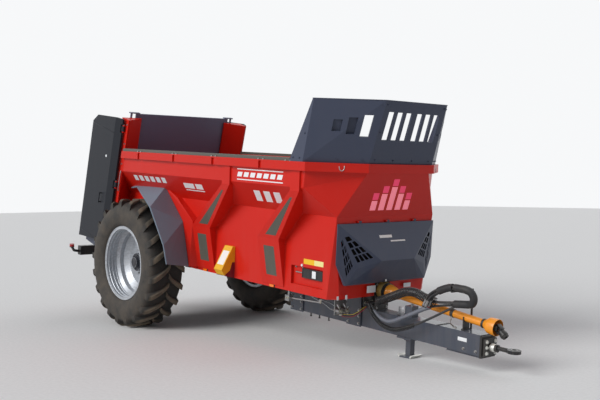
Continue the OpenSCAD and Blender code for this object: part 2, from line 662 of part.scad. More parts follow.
// Side doors: plan of the folded sheet, from the hinge to the rear edge
hinge_u = 150;
hinge_y = band_y + 26;
door_front = hinge_u - 5;
door_fold = 20;
door_rear = -655;
door_low = -50;
door_high = post_l - 5;
door_outline = [[door_rear, door_low], [door_fold, 90], [300, 130], [300, door_high], [door_fold, door_high],
                [door_rear + 130, door_high - 85], [door_rear, door_high - 200]];
handle_u = -113;
handle_w = [640, 800];
handle_d = 16;
handle_out = 34;
module door(side) color(grey) on_rear() difference() {
    union() {
        difference() {
            translate([0, 0, door_low]) linear_extrude(door_high - door_low) polygon([for (p = [
                [door_front, hinge_y + 2], [door_front, hinge_y + 2 + door_t], [door_fold, door_y],
                [door_rear, door_y], [door_rear, door_y - door_t],
                [door_fold - 6, door_y - door_t]]) [p[0], side * p[1]]]);
            rotate([90, 0, 0]) linear_extrude(4000, center = true) difference() {
                translate([-2000, -2000]) square(6000);
                polygon(door_outline);
            }
            for (w = lug_w)
                block([hinge_u - 30, -1500, w - 20], [hinge_u + 30, 1500, w + knuckle_l + 20]);
        }
        for (w = [handle_w[0] + 12, handle_w[1] - 12]) translate([handle_u, side * (door_y - 2), w])
            rotate([-90 * side, 0, 0]) cylinder(d = handle_d, h = handle_out + 2);
        translate([handle_u, side * (door_y + handle_out), handle_w[0]])
            cylinder(d = handle_d, h = handle_w[1] - handle_w[0]);
        for (w = lug_w) {
            translate([hinge_u, side * hinge_y, w]) cylinder(r = knuckle_r, h = knuckle_l);
            translate([0, 0, w]) linear_extrude(knuckle_l) polygon([for (p = [
                [hinge_u - 6, hinge_y + 2], [hinge_u - 2, hinge_y + 12], [hinge_u - 31, hinge_y + 26],
                [hinge_u - 31, hinge_y + 14]]) [p[0], side * p[1]]]);
        }
    }
    for (w = lug_w)
        translate([hinge_u, side * hinge_y, w - 1]) cylinder(r = pin_r + 0.3, h = knuckle_l + 2);
}
module door_right() door(-1);
module door_left() door(1);

// Shaft under the floor, from the drop gearbox at the nose to the beaters' gearbox
driveline_z = 785;
box_x = [nose_x - 190, nose_x - 30];
module driveline() color([0.3, 0.3, 0.31]) on_body() difference() {
    translate([-1600, 0, driveline_z]) rotate([0, 90, 0]) cylinder(d = 50, h = box_x[0] + 1600);
    translate([gate_x, 0, foot_z]) rotate([0, rear_lean, 0]) gearbox_form();
}

// Bumper under the discs, with its lamps and the bent arms of the width markers
bumper_x = [-1700, -1600];
bumper_z = [800, 940];
bumper_half = door_y + 50;
hanger_y = [600, 620];                       // straps that hang the bumper from the beaters' frame
module bumper() color([0.08, 0.09, 0.10]) on_body() {
    bar(bumper_x, bumper_half, bumper_z);
    difference() {
        both() block([bumper_x[0] + 10, hanger_y[0], bumper_z[1]],
                     [bumper_x[1] - 10, hanger_y[1], bumper_z[1] + 140]);
        translate([gate_x, 0, foot_z]) rotate([0, rear_lean, 0])
            bar([beam_u[0], beam_u[1]], arm_in, [beam_w[0], beam_w[0] + 400]);
    }
}
marker_root = [bumper_x[0] + 30, bumper_half - 15, bumper_z[0] + 50];
marker_bend = marker_root + [20, 105, 22];
marker_tip = marker_root + [75, 165, 85];
marker_arm_r = 20;
module rod(a, b, r) translate(a)
    rotate([0, acos((b - a)[2] / norm(b - a)), atan2((b - a)[1], (b - a)[0])])
        cylinder(r = r, h = norm(b - a));
module marker_arms() color([0.08, 0.08, 0.09]) on_body() both() {
    difference() {
        rod(marker_root, marker_bend, marker_arm_r);
        bar(bumper_x, bumper_half, bumper_z);
    }
    translate(marker_bend) sphere(r = marker_arm_r + 0.4, $fn = 24);
    rod(marker_bend, marker_tip, marker_arm_r);
    rod(marker_tip, marker_tip + [6, 5, 45], 34);
}
rear_lamp_t = 35;
rear_lamp_w = 300;
module rear_lamps() color([0.6, 0.05, 0.05]) on_body() both()
    block([bumper_x[0] - rear_lamp_t, bumper_half - 50 - rear_lamp_w, bumper_z[0] + 15],
          [bumper_x[0], bumper_half - 50, bumper_z[1] - 15]);
module side_lamps() color([0.95, 0.45, 0.05]) on_body() both() for (r = ribs)
    block([r[0] + 150, waist_y, skirt_z + 3], [r[0] + 230, waist_y + 16, skirt_z + 33]);
// Wheel chock stowed on the right side, and its outline: distance out from the side, and height
chock_x = [1680, 1850];
chock_outline = [[0, 905], [150, 940], [200, 1010], [36, 1300], [0, 1300]];
module wheel_chock() color([0.9, 0.7, 0.1]) on_body()
    translate([chock_x[1], -waist_y, 0]) rotate([90, 0, -90])
        linear_extrude(chock_x[1] - chock_x[0]) polygon(chock_outline);

// Power input at the front: gearbox under the nose, guarded shaft and its drooping yoke
pto_rear = [nose_x - 20, 0, 965];
pto_front = [5352, 0, 818];
pto_lean = atan2(pto_rear[2] - pto_front[2], pto_front[0] - pto_rear[0]);
pto_l = norm(pto_front - pto_rear);
guard_r = 42;
module on_pto() on_body() translate(pto_rear) rotate([0, 90 + pto_lean, 0]) children();
module pto_gearbox() color([0.16, 0.16, 0.17]) on_body() {
    bar(box_x, 110, [bar_z + bar_h, 1060]);
}
module pto_guard() color([0.95, 0.55, 0.05]) on_pto() rotate_extrude() polygon([
    [0, 0], [105, 0], [100, 70], [62, 180], [guard_r, 190], [guard_r, pto_l - 160], [48, pto_l - 150],
    [84, pto_l - 100], [90, pto_l], [84, pto_l], [78, pto_l - 96], [44, pto_l - 142], [0, pto_l - 142]]);
module pto_yoke() color([0.09, 0.09, 0.1]) {
    on_pto() translate([0, 0, pto_l - 142]) cylinder(r = 24, h = 112);
    on_body() translate(pto_front) rotate([0, 127, 0]) translate([0, 0, -45]) {
        cylinder(r = 38, h = 130);
        translate([0, 0, 130]) cylinder(r = 32, h = 45);
    }
}
// Bundle of hoses: it runs under, round and over a loop, and hangs from a hook on the drawbar
hose_t = 26;
pack = 15.5;                                   // from the bundle's middle to a hose's middle
loop_c = [5090, 1110];
loop_r = 80;
loop_rise = 0.14;                            // slope of the strand that comes to the loop
hose_y = -148;
back_y = hose_y - 72;                        // the strand that leaves the loop
holder_x = 4940;
module pto_holder() color([0.1, 0.1, 0.11]) on_body() difference() {
    union() {
        bar([holder_x - 15, holder_x + 15], 60, [bar_z + bar_h, bar_z + bar_h + 12]);
        bar([holder_x - 6, holder_x + 6], 50, [bar_z + bar_h + 12, 866]);
    }
    translate(pto_rear) rotate([0, 90 + pto_lean, 0]) cylinder(r = guard_r, h = pto_l);
}
hook_x = [holder_x - 8, holder_x + 8];
hook_y = 78;
hook_z = loop_c[1] + loop_r - pack - hose_t / 2 - 4;
gland_x = nose_x - 60;
gland_t = 12;
gland_gap = 1.5;
hose_start = gland_x + gland_gap;
module hose_holder() color([0.1, 0.1, 0.11]) on_body() {
    block([hook_x[0], hook_y, bar_z + bar_h], [hook_x[1], hook_y + 16, hook_z]);
    block([hook_x[0], back_y - 45, hook_z - 16], [hook_x[1], hook_y, hook_z]);
    block([gland_x - gland_t, -265, 780], [gland_x, -115, skirt_z]);
}
// Each hose: its lead from the gland plate, and its place in the bundle, across and outward
hose_leads = [
    [[hose_start, -134, 832], [3687, -134, 832], [3715, -134, 834], [3830, -137, 880],
     [4020, -137, 966], [4200, -137, 1042], [4340, -136, 1050], [4470, -134, 1014], [4620, -132, 984]],
    [[hose_start, -170, 832], [3687, -170, 832], [3715, -170, 834], [3850, -172, 874],
     [4040, -172, 948], [4220, -170, 1016], [4360, -167, 1028], [4490, -165, 1000], [4630, -164, 984]],
    [[hose_start, -205, 825], [3687, -205, 825], [3715, -205, 819], [3800, -210, 735],
     [3920, -214, 680], [4060, -212, 678], [4290, -196, 782], [4500, -165, 890], [4650, -136, 942]],
    [[hose_start, -240, 825], [3687, -240, 825], [3715, -240, 819], [3790, -248, 726],
     [3930, -254, 632], [4080, -252, 602], [4220, -248, 622], [4420, -236, 700],
     [4640, -208, 819], [4780, -184, 903], [4870, -168, 955]]];
hose_layers = [[1, -1], [-1, -1], [1, 1], [-1, 1]];
function loop_route(across, out) = let (y = across * pack, r = loop_r + out * pack) concat(
    [for (x = out > 0 && across < 0 ? [4950] : [4820, 4950])
        [x, hose_y + y, loop_c[1] - r - (loop_c[0] - x) * loop_rise]],
    [for (a = [-90:45:90]) [loop_c[0] + r * cos(a), hose_y + y + (back_y - hose_y) * (a + 90) / 180,
                            loop_c[1] + r * sin(a)]],
    [for (p = [[holder_x, 0, 0], [4800, -36, 15], [4700, -84, 35], [4625, -140, 60], [4590, -200, 75]])
        [p[0] - out * pack * sin(p[2]), back_y + y * (1 + p[2] / 150),
         loop_c[1] + loop_r + p[1] + out * pack * cos(p[2])]]);
hose_routes = [for (k = [0:3]) concat(hose_leads[k], loop_route(hose_layers[k][0], hose_layers[k][1]))];

// Points of a smooth curve through the route, with its steps between neighbours
function curve_point(a, b, c, d, t) = 0.5 * (2 * b + (c - a) * t + (2 * a - 5 * b + 4 * c - d) * t * t
    + (3 * b - a - 3 * c + d) * t * t * t);
function smooth(route, steps) = let (n = len(route)) [
    for (i = [0:n - 2], k = [0:steps - 1])
        curve_point(route[max(i - 1, 0)], route[i], route[i + 1], route[min(i + 2, n - 1)], k / steps),
    route[n - 1]];
hose_sides = 8;
module hose(route) {
    path = smooth(route, 3);
    n = len(path);
    points = [for (i = [0:n - 1]) let (
        along = unit(path[min(i + 1, n - 1)] - path[max(i - 1, 0)]),
        out = unit(cross(along, [0, 1, 0])),
        up = cross(out, along))
        for (k = [0:hose_sides - 1])
            path[i] + hose_t / 2 * (out * cos(360 * k / hose_sides) + up * sin(360 * k / hose_sides))];
    walls = [for (i = [0:n - 2], k = [0:hose_sides - 1]) let (
        a = i * hose_sides + k, b = i * hose_sides + (k + 1) % hose_sides)
        each [[a, b, b + hose_sides], [a, b + hose_sides, a + hose_sides]]];
    polyhedron(points, concat(walls, [[for (k = [hose_sides - 1:-1:0]) k]],
        [[for (k = [0:hose_sides - 1]) (n - 1) * hose_sides + k]]));
}
module hose_a() color([0.07, 0.07, 0.08]) on_body() hose(hose_routes[0]);
module hose_b() color([0.07, 0.07, 0.08]) on_body() hose(hose_routes[1]);
module hose_c() color([0.07, 0.07, 0.08]) on_body() hose(hose_routes[2]);
module hose_d() color([0.07, 0.07, 0.08]) on_body() hose(hose_routes[3]);
plug_l = 70;
module hose_plugs() color(steel) on_body() for (route = hose_routes)
    let (n = len(route), end = route[n - 1],
         d = unit(end - curve_point(route[n - 3], route[n - 2], end, end, 2 / 3)))
        translate(end) rotate([0, acos(d[2]), atan2(d[1], d[0])]) cylinder(d = hose_t + 8, h = plug_l);

// Valve plate under the front cross member, and the parking brake's crank
valve_x = bracket_x[1] + 60;
valve_y = [-440, -340];
valve_z = 710;
module valves() color(steel) on_body() {
    block([valve_x - 12, valve_y[0] - 40, valve_z - 50], [valve_x, valve_y[1] + 40, rail_z[0] - cross_h]);
    for (y = valve_y) translate([valve_x, y, valve_z]) rotate([0, 90, 0]) cylinder(d = 70, h = 60);
}
brake_y = -700;
brake_x = [2808, 2884];                      // ends of the crank's housing
brake_z = 800;
crank_d = 22;
hanger_x = 3390;                             // where a strap carries the crank's front end
module brake_lever() color(steel) on_body() {
    block([brake_x[0] + 22, brake_y - 12, brake_z - 35], [brake_x[1] - 24, brake_y + 12, rail_z[0]]);
    block([brake_x[0], brake_y - 35, brake_z - 38], [brake_x[1], brake_y + 35, brake_z + 32]);
    translate([brake_x[1], brake_y, brake_z]) rotate([0, 87, 0]) cylinder(d = crank_d, h = 520);
    translate([hanger_x, brake_y, brake_z + 26])
        cylinder(d = crank_d, h = rail_z[0] - cross_h - brake_z - 26);
}
gauge_y = -waist_y + recess_t;               // back of the recess
gauge_z = 1140;
module level_window() color([0.05, 0.05, 0.05]) on_body() {
    block([recess_x[0] + 190, gauge_y - 28, gauge_z - 50], [recess_x[1] - 15, gauge_y, gauge_z + 55]);
    translate([recess_x[0] + 60, gauge_y - 14, gauge_z]) rotate([0, 90, 0]) cylinder(d = 12, h = 131);
    block([recess_x[0] + 61, gauge_y - 20, gauge_z - 8], [recess_x[0] + 71, gauge_y, gauge_z + 8]);
}

// Front cover: corners of its left half, and the hinge along its upper edge
cover_hinge = [nose_x + 18, 1775];
cover_knuckles = [-450, 0, 450];
knuckle_w = 40;
cover_form = [[nose_x + 20, 785, 1757], [nose_x + 207, 267, 1345], [nose_x + 99, 553, 1258],
              [nose_x + 35, 650, 1065], [nose_x + 65, 492, 1085], [nose_x + 6, 785, 1310]];
cover_back = [[nose_x + 8, 785, 1757], [nose_x - 6, 650, 1065], [nose_x + 2, 785, 1310]];
cover_t = 14;
// Slots in the cover's corner panels: rows between shares down the panel, and the slots in each row
grille_rows = [[0.30, 0.40, 1], [0.43, 0.55, 2], [0.58, 0.71, 3], [0.74, 0.88, 4]];
module grille(top, left, right) {
    u = unit(right - left);
    n = unit(cross(u, top - left));
    v = cross(n, u);
    function flat(down, along) =
        let (p = top + (left + (right - left) * along - top) * down - left) [p * u, p * v];
    on_face(left, right, top) translate([0, 0, -26]) linear_extrude(40)
        for (row = grille_rows, k = [0:row[2] - 1])
            let (a = 0.14 + 0.76 * k / row[2], b = 0.14 + 0.76 * (k + 0.72) / row[2])
            polygon([flat(row[0], a), flat(row[0], b), flat(row[1], b), flat(row[1], a)]);
}
module front_cover() color(grey) on_body() {
    difference() {
        facets(mirrored(concat(cover_form, cover_back)));
        facets(mirrored(concat([for (p = cover_form) p - [cover_t, 10, 0]],
                               [for (p = cover_back) p - [cover_t + 80, 10, 0]])));
        both() {
            grille(cover_form[0], cover_form[2], cover_form[1]);
            grille(cover_form[0], cover_form[3], cover_form[2]);
        }
    }
    for (y = cover_knuckles) translate([cover_hinge[0], y, cover_hinge[1]]) difference() {
        union() {
            rotate([90, 0, 0]) cylinder(r = 10, h = knuckle_w, center = true);
            bar([-6, 4], knuckle_w / 2, [-26, -6]);
        }
        rotate([90, 0, 0]) cylinder(r = 5.3, h = knuckle_w + 2, center = true);
    }
}

chassis();
axle();
drawbar();
hitch_plate();
tow_eye();
jack_sleeve();
floor();
side_right();
side_left();
front_wall();
ribs_right();
ribs_left();
rim();
top_rails();
headboard();
fender_right();
fender_left();
rear_posts();
gate_cylinders();
beater_frame();
beater_gearbox();
driveline();
conveyor_shafts();
conveyor_chains();
conveyor_slats();
bumper();
marker_arms();
rear_lamps();
side_lamps();
wheel_chock();
pto_gearbox();
pto_guard();
pto_yoke();
pto_holder();
hose_a();
hose_b();
hose_c();
hose_d();
hose_plugs();
hose_holder();
valves();
brake_lever();
level_window();
tyre_right();
tyre_left();
rim_right();
rim_left();
jack_leg();
front_cover();
gate();
beater_right();
beater_left();
door_right();
door_left();
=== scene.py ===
"""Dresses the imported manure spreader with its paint, rubber, fittings, hoses and studio."""

import math

import bmesh
import bpy
from mathutils import Matrix, Vector


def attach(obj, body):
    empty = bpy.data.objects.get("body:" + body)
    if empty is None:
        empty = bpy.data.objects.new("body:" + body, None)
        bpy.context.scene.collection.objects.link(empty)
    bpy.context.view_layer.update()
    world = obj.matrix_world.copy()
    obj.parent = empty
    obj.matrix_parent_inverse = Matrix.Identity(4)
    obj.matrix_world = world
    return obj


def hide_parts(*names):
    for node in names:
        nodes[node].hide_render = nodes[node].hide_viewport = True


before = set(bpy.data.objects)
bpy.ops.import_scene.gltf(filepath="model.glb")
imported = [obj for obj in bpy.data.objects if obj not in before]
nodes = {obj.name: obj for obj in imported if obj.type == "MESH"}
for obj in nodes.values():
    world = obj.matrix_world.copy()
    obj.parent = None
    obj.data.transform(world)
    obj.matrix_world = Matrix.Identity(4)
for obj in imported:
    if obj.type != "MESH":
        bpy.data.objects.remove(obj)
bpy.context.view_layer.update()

SIDES = ((-1, "right"), (1, "left"))


def moved(x, y, z):
    """A shift along x, y and z."""
    return Matrix.Translation((x, y, z))


def turned(degrees, axis):
    """A turn about one axis."""
    return Matrix.Rotation(math.radians(degrees), 4, axis)


# The parked body leans nose down about the axle, and its rear frame leans forward on it
AXLE_Z = 0.8885
ORIGIN_X = 1.78951
TRACK = 2.273
BODY = moved(-ORIGIN_X, 0, AXLE_Z) @ turned(3.7, "Y") @ moved(0, 0, -AXLE_Z)
REAR = BODY @ moved(-1.13, 0, 1.0) @ turned(13, "Y")
GROUND = Matrix()

# The input shaft with z along it, and the yoke at its end
SHAFT = BODY @ moved(3.7, 0, 0.965) @ turned(95.085, "Y")
SHAFT_L = 1.6585
YOKE = BODY @ moved(5.352, 0, 0.818) @ turned(127, "Y")


def wheel_place(side):
    """The frame of one wheel, with z along the axle and outwards."""
    return moved(-ORIGIN_X, side * TRACK / 2, AXLE_Z) @ turned(-90 * side, "X")


def beater_place(side):
    """The frame of one beater, with z up its shaft."""
    return REAR @ moved(-0.51, side * 0.5, 0)


def in_scene(name, data):
    """A mesh, curve, lamp or camera as an object in the scene."""
    made = bpy.data.objects.new(name, data)
    bpy.context.scene.collection.objects.link(made)
    return made


# Camera, at the photograph's place and angle
camera_data = bpy.data.cameras.new("camera")
camera_data.lens = 52.4
camera_data.sensor_width = 36
camera = in_scene("camera", camera_data)
camera.location = (10.8374 - ORIGIN_X, -7.2926, 1.92)
camera.rotation_euler = [math.radians(a) for a in (89.1875, 0.3332, 49.7753)]
bpy.context.scene.camera = camera


# Finishes
def linear(red, green, blue):
    """A screen colour of 0 to 255 as the shader's linear colour."""
    values = [c / 255 for c in (red, green, blue)]
    return (*[c / 12.92 if c <= 0.04045 else ((c + 0.055) / 1.055) ** 2.4 for c in values], 1)


def add(tree, kind, links=None, **settings):
    """A shader node with its settings, its values and its links."""
    node = tree.nodes.new("ShaderNode" + kind)
    for key, value in settings.items():
        setattr(node, key, value)
    for socket, source in (links or {}).items():
        if isinstance(source, bpy.types.NodeSocket):
            tree.links.new(source, node.inputs[socket])
        else:
            node.inputs[socket].default_value = source
    return node


def noise(tree, where, scale, detail=4.0, roughness=0.55):
    """The value of a noise pattern at a scale in cycles per metre."""
    links = {"Vector": where, "Scale": scale, "Detail": detail, "Roughness": roughness}
    return add(tree, "TexNoise", links).outputs["Fac"]


def spread(tree, value, low, high, start=0.0, end=1.0):
    """A value stretched from low and high to start and end, and held there."""
    links = {"Value": value, "From Min": low, "From Max": high, "To Min": start, "To Max": end}
    return add(tree, "MapRange", links).outputs["Result"]


def sums(tree, operation, first, second):
    """Two values added, multiplied or compared."""
    return add(tree, "Math", {0: first, 1: second}, operation=operation).outputs["Value"]


def mixed(tree, factor, first, second, blend="MIX"):
    """Two colours blended by a factor."""
    node = add(tree, "Mix", {0: factor, 6: first, 7: second}, data_type="RGBA", blend_type=blend)
    return node.outputs[2]


def new_group(name, inputs, outputs):
    """An empty node group with its named sockets, its input node and its output node."""
    group = bpy.data.node_groups.new(name, "ShaderNodeTree")
    for label, kind, value in inputs:
        socket = group.interface.new_socket(
            label, in_out="INPUT", socket_type="NodeSocket" + kind
        )
        socket.default_value = value
    for label, kind in outputs:
        group.interface.new_socket(label, in_out="OUTPUT", socket_type="NodeSocket" + kind)
    return group, group.nodes.new("NodeGroupInput"), group.nodes.new("NodeGroupOutput")


FACE = [("Colour", "Color"), ("Roughness", "Float"), ("Height", "Float")]


def make_weathering():
    """Paint with broad fading, rain streaks, orange peel, and yard dust near the ground."""
    group, given, made = new_group(
        "weathering",
        [
            ("Colour", "Color", (0.5, 0.5, 0.5, 1)),
            ("Dust", "Color", (0.3, 0.26, 0.21, 1)),
            ("Dust Amount", "Float", 0.5),
            ("Dust Low", "Float", 0.3),
            ("Dust High", "Float", 2.0),
            ("Roughness", "Float", 0.35),
            ("Fading", "Float", 0.12),
        ],
        FACE,
    )
    where = add(group, "TexCoord").outputs["Object"]
    height = add(group, "SeparateXYZ", {"Vector": where}).outputs["Z"]
    long = add(group, "Mapping", {"Vector": where, "Scale": (9, 9, 0.8)}).outputs["Vector"]
    broad = noise(group, where, 1.6, 5.0)
    streaks = noise(group, long, 1.0, 5.0, 0.65)
    grains = noise(group, where, 150.0, 3.0, 0.7)
    peel = noise(group, where, 420.0, 2.0)
    low = spread(group, height, given.outputs["Dust Low"], given.outputs["Dust High"], 1.0, 0.12)
    patches = spread(group, streaks, 0.38, 0.72)
    specks = spread(group, grains, 0.35, 0.75, 0.35, 1.0)
    dust = sums(group, "MULTIPLY", sums(group, "MULTIPLY", low, patches), specks)
    dust = sums(group, "MULTIPLY", dust, given.outputs["Dust Amount"])
    faded = sums(group, "MULTIPLY", spread(group, broad, 0.3, 0.7), given.outputs["Fading"])
    paler = mixed(group, 0.5, given.outputs["Colour"], (0.75, 0.62, 0.58, 1), "SOFT_LIGHT")
    colour = mixed(group, faded, given.outputs["Colour"], paler)
    colour = mixed(group, dust, colour, given.outputs["Dust"])
    rough = sums(group, "ADD", given.outputs["Roughness"], sums(group, "MULTIPLY", dust, 0.6))
    rough = sums(group, "ADD", rough, spread(group, grains, 0.3, 0.7, -0.03, 0.05))
    bump = sums(group, "ADD", sums(group, "MULTIPLY", peel, 0.3), sums(group, "MULTIPLY", broad, 2.0))
    for label, source in (("Colour", colour), ("Roughness", rough), ("Height", bump)):
        group.links.new(source, made.inputs[label])
    return group


def make_wearing():
    """Bare metal or moulded stuff with fine grain, scratches along one way, and stains."""
    group, given, made = new_group(
        "wearing",
        [
            ("Colour", "Color", (0.5, 0.5, 0.5, 1)),
            ("Stain", "Color", (0.2, 0.15, 0.1, 1)),
            ("Stain Amount", "Float", 0.3),
            ("Grain", "Float", 120.0),
            ("Roughness", "Float", 0.4),
        ],
        FACE,
    )
    where = add(group, "TexCoord").outputs["Object"]
    drawn = add(group, "Mapping", {"Vector": where, "Scale": (0.15, 1.0, 1.0)}).outputs["Vector"]
    grain = noise(group, drawn, given.outputs["Grain"], 5.0, 0.7)
    blots = noise(group, where, 14.0, 6.0, 0.65)
    fine = noise(group, where, 500.0, 2.0)
    stain = sums(group, "MULTIPLY", spread(group, blots, 0.45, 0.7), given.outputs["Stain Amount"])
    shade = mixed(group, 0.35, given.outputs["Colour"], spread(group, grain, 0.2, 0.8), "OVERLAY")
    colour = mixed(group, stain, shade, given.outputs["Stain"])
    rough = sums(group, "ADD", given.outputs["Roughness"], spread(group, grain, 0.3, 0.7, -0.08, 0.1))
    rough = sums(group, "ADD", rough, sums(group, "MULTIPLY", stain, 0.4))
    bump = sums(group, "ADD", grain, sums(group, "MULTIPLY", fine, 0.5))
    for label, source in (("Colour", colour), ("Roughness", rough), ("Height", bump)):
        group.links.new(source, made.inputs[label])
    return group


weathering = make_weathering()
wearing = make_wearing()

# Depth of a finish's fine relief, in metres
PAINT_RELIEF = 0.0006
FINE_RELIEF = 0.0004


def new_material(name):
    """A material with an empty node tree."""
    material = bpy.data.materials.new(name)
    material.use_nodes = True
    material.node_tree.nodes.clear()
    return material, material.node_tree


def show(tree, links):
    """A plain surface shader with its links, led to the material's output."""
    skin = add(tree, "BsdfPrincipled", links)
    out = tree.nodes.new("ShaderNodeOutputMaterial")
    tree.links.new(skin.outputs["BSDF"], out.inputs["Surface"])


def new_finish(name, group, values, relief, **shader):
    """A material on one of the groups, with the shader's own sockets set plainly."""
    material, tree = new_material(name)
    face = tree.nodes.new("ShaderNodeGroup")
    face.node_tree = group
    for label, value in values.items():
        face.inputs[label].default_value = value
    bent = add(tree, "Bump", {"Height": face.outputs["Height"], "Strength": 0.6, "Distance": relief})
    links = {
        "Base Color": face.outputs["Colour"],
        "Roughness": face.outputs["Roughness"],
        "Normal": bent.outputs["Normal"],
    }
    links.update({label.replace("_", " "): value for label, value in shader.items()})
    show(tree, links)
    return material


def painted(name, colour, roughness=0.34, dust=0.35, fading=0.12, coat=0.35):
    """Sprayed paint under a thin coat, dusty towards the ground."""
    values = {
        "Colour": linear(*colour),
        "Roughness": roughness,
        "Dust Amount": dust,
        "Dust High": 1.5,
        "Fading": fading,
    }
    shader = {"Coat_Weight": coat, "Coat_Roughness": 0.12, "Specular_IOR_Level": 0.22}
    return new_finish(name, weathering, values, PAINT_RELIEF, **shader)


def film(name, colour, roughness=0.45):
    """A stuck-on film, barely faded."""
    return painted(name, colour, roughness, fading=0.05, coat=0.1)


def glowing_film(name, colour, glow, strength):
    """A film whose glow of its own, painted light, keeps it bright on its shaded panel."""
    values = {"Colour": linear(*colour), "Roughness": 0.4, "Dust Amount": 0.2, "Fading": 0.05}
    shader = {"Emission_Color": linear(*glow), "Emission_Strength": strength}
    return new_finish(name, weathering, values, PAINT_RELIEF, **shader)


def metal(name, colour, stain=0.25, roughness=0.35, grain=120.0, shine=1.0, coat=0.0):
    """Bare or plated metal, or silver paint where the shine is less than whole."""
    values = {"Colour": linear(*colour), "Stain Amount": stain, "Roughness": roughness, "Grain": grain}
    return new_finish(name, wearing, values, FINE_RELIEF, Metallic=shine, Coat_Weight=coat)


def moulded(name, colour, roughness=0.5, stain=0.15, grain=300.0, coat=0.0, specular=0.5):
    """Moulded plastic, rubber, woven sleeve or lens."""
    values = {"Colour": linear(*colour), "Stain Amount": stain, "Roughness": roughness, "Grain": grain}
    shader = {"Coat_Weight": coat, "Specular_IOR_Level": specular}
    return new_finish(name, wearing, values, FINE_RELIEF, **shader)


red_paint = painted("red_paint", (200, 27, 12), roughness=0.4, fading=0.06, coat=0.1, dust=0.16)
grey_paint = painted("grey_paint", (64, 70, 88), roughness=0.42, coat=0.15, dust=0.2)
beam_paint = painted("beam_paint", (62, 68, 80), roughness=0.36, coat=0.7, dust=0.2)
door_paint = painted("door_paint", (30, 33, 40), roughness=0.5, coat=0.05, dust=0.12)
gate_paint = painted("gate_paint", (104, 108, 130), roughness=0.45, dust=0.2, coat=0.1)
fender_paint = painted("fender_paint", (110, 124, 138), 0.4, fading=0.05, coat=0.12, dust=0.15)
black_paint = painted("black_paint", (30, 31, 34), roughness=0.4)
hub_paint = painted("hub_paint", (34, 38, 48), roughness=0.36)
yoke_paint = painted("yoke_paint", (30, 30, 32), roughness=0.42, coat=0.2)
cradle_paint = painted("cradle_paint", (112, 26, 40), roughness=0.42)
rail_paint = painted("rail_paint", (86, 87, 80), roughness=0.5)
olive_film = film("olive_film", (84, 84, 76))
pale_film = film("pale_film", (240, 236, 232), roughness=0.4)
straw_film = film("straw_film", (236, 226, 150))
yellow_film = film("yellow_film", (238, 190, 40))
white_film = film("white_film", (232, 234, 236))
# The pink and rose films glow a little: painted light that keeps the front bars bright in the shade
pink_film = glowing_film("pink_film", (255, 160, 170), (255, 90, 120), 0.3)
rose_film = glowing_film("rose_film", (240, 70, 110), (240, 30, 90), 0.25)
bright_steel = metal("bright_steel", (160, 160, 160), roughness=0.34)
worn_steel = metal("worn_steel", (120, 114, 108), stain=0.7, roughness=0.5)
chain_steel = metal("chain_steel", (104, 98, 92), stain=0.75, roughness=0.48)
blade_steel = metal("blade_steel", (168, 166, 162), stain=0.3, roughness=0.3)
zinc = metal("zinc", (178, 175, 162), stain=0.1, roughness=0.36)
pipe_zinc = metal("pipe_zinc", (158, 160, 164), stain=0.2, roughness=0.4)
fitting_zinc = metal("fitting_zinc", (214, 214, 208), 0.15, roughness=0.4, grain=90.0, shine=0.4)
rim_paint = metal("rim_paint", (176, 180, 186), 0.15, 0.42, grain=40.0, shine=0.45, coat=0.2)
chock_plastic = moulded("chock_plastic", (232, 176, 24), roughness=0.42)
guard_plastic = moulded("guard_plastic", (240, 150, 28), roughness=0.4, coat=0.15)
bell_plastic = moulded("bell_plastic", (150, 124, 62), roughness=0.5, stain=0.4)
red_plastic = moulded("red_plastic", (176, 26, 28), roughness=0.42)
black_plastic = moulded("black_plastic", (28, 28, 30), roughness=0.5)
# A dead black without gloss, used only for the sheets of painted shade in the cover's cells
shade_black = moulded("shade_black", (7, 7, 9), roughness=0.85, stain=0.05, specular=0.0)
hose_rubber = moulded("hose_rubber", (34, 35, 38), roughness=0.38, grain=260.0, coat=0.2)
sleeve_cloth = moulded("sleeve_cloth", (30, 31, 34), roughness=0.6, grain=420.0, stain=0.1)
sleeve_plastic = moulded("sleeve_plastic", (104, 108, 118), roughness=0.34, coat=0.3)
spring_wire = moulded("spring_wire", (24, 25, 28), roughness=0.3, stain=0.1, coat=0.5)
wire_yellow = moulded("wire_yellow", (226, 196, 40), roughness=0.45)
amber_lens = moulded("amber_lens", (245, 120, 20), roughness=0.2, stain=0.0, coat=0.6)
red_lens = moulded("red_lens", (170, 20, 24), roughness=0.2, stain=0.0, coat=0.6)

# Radii about the axle over which painted shade darkens the rubber to a groove's, and over which the rubber
# grows dusty on a lug's top
GROOVE_SHADE_RADII = (0.79, 0.83)
DUSTS_OVER = (0.85, 0.878)


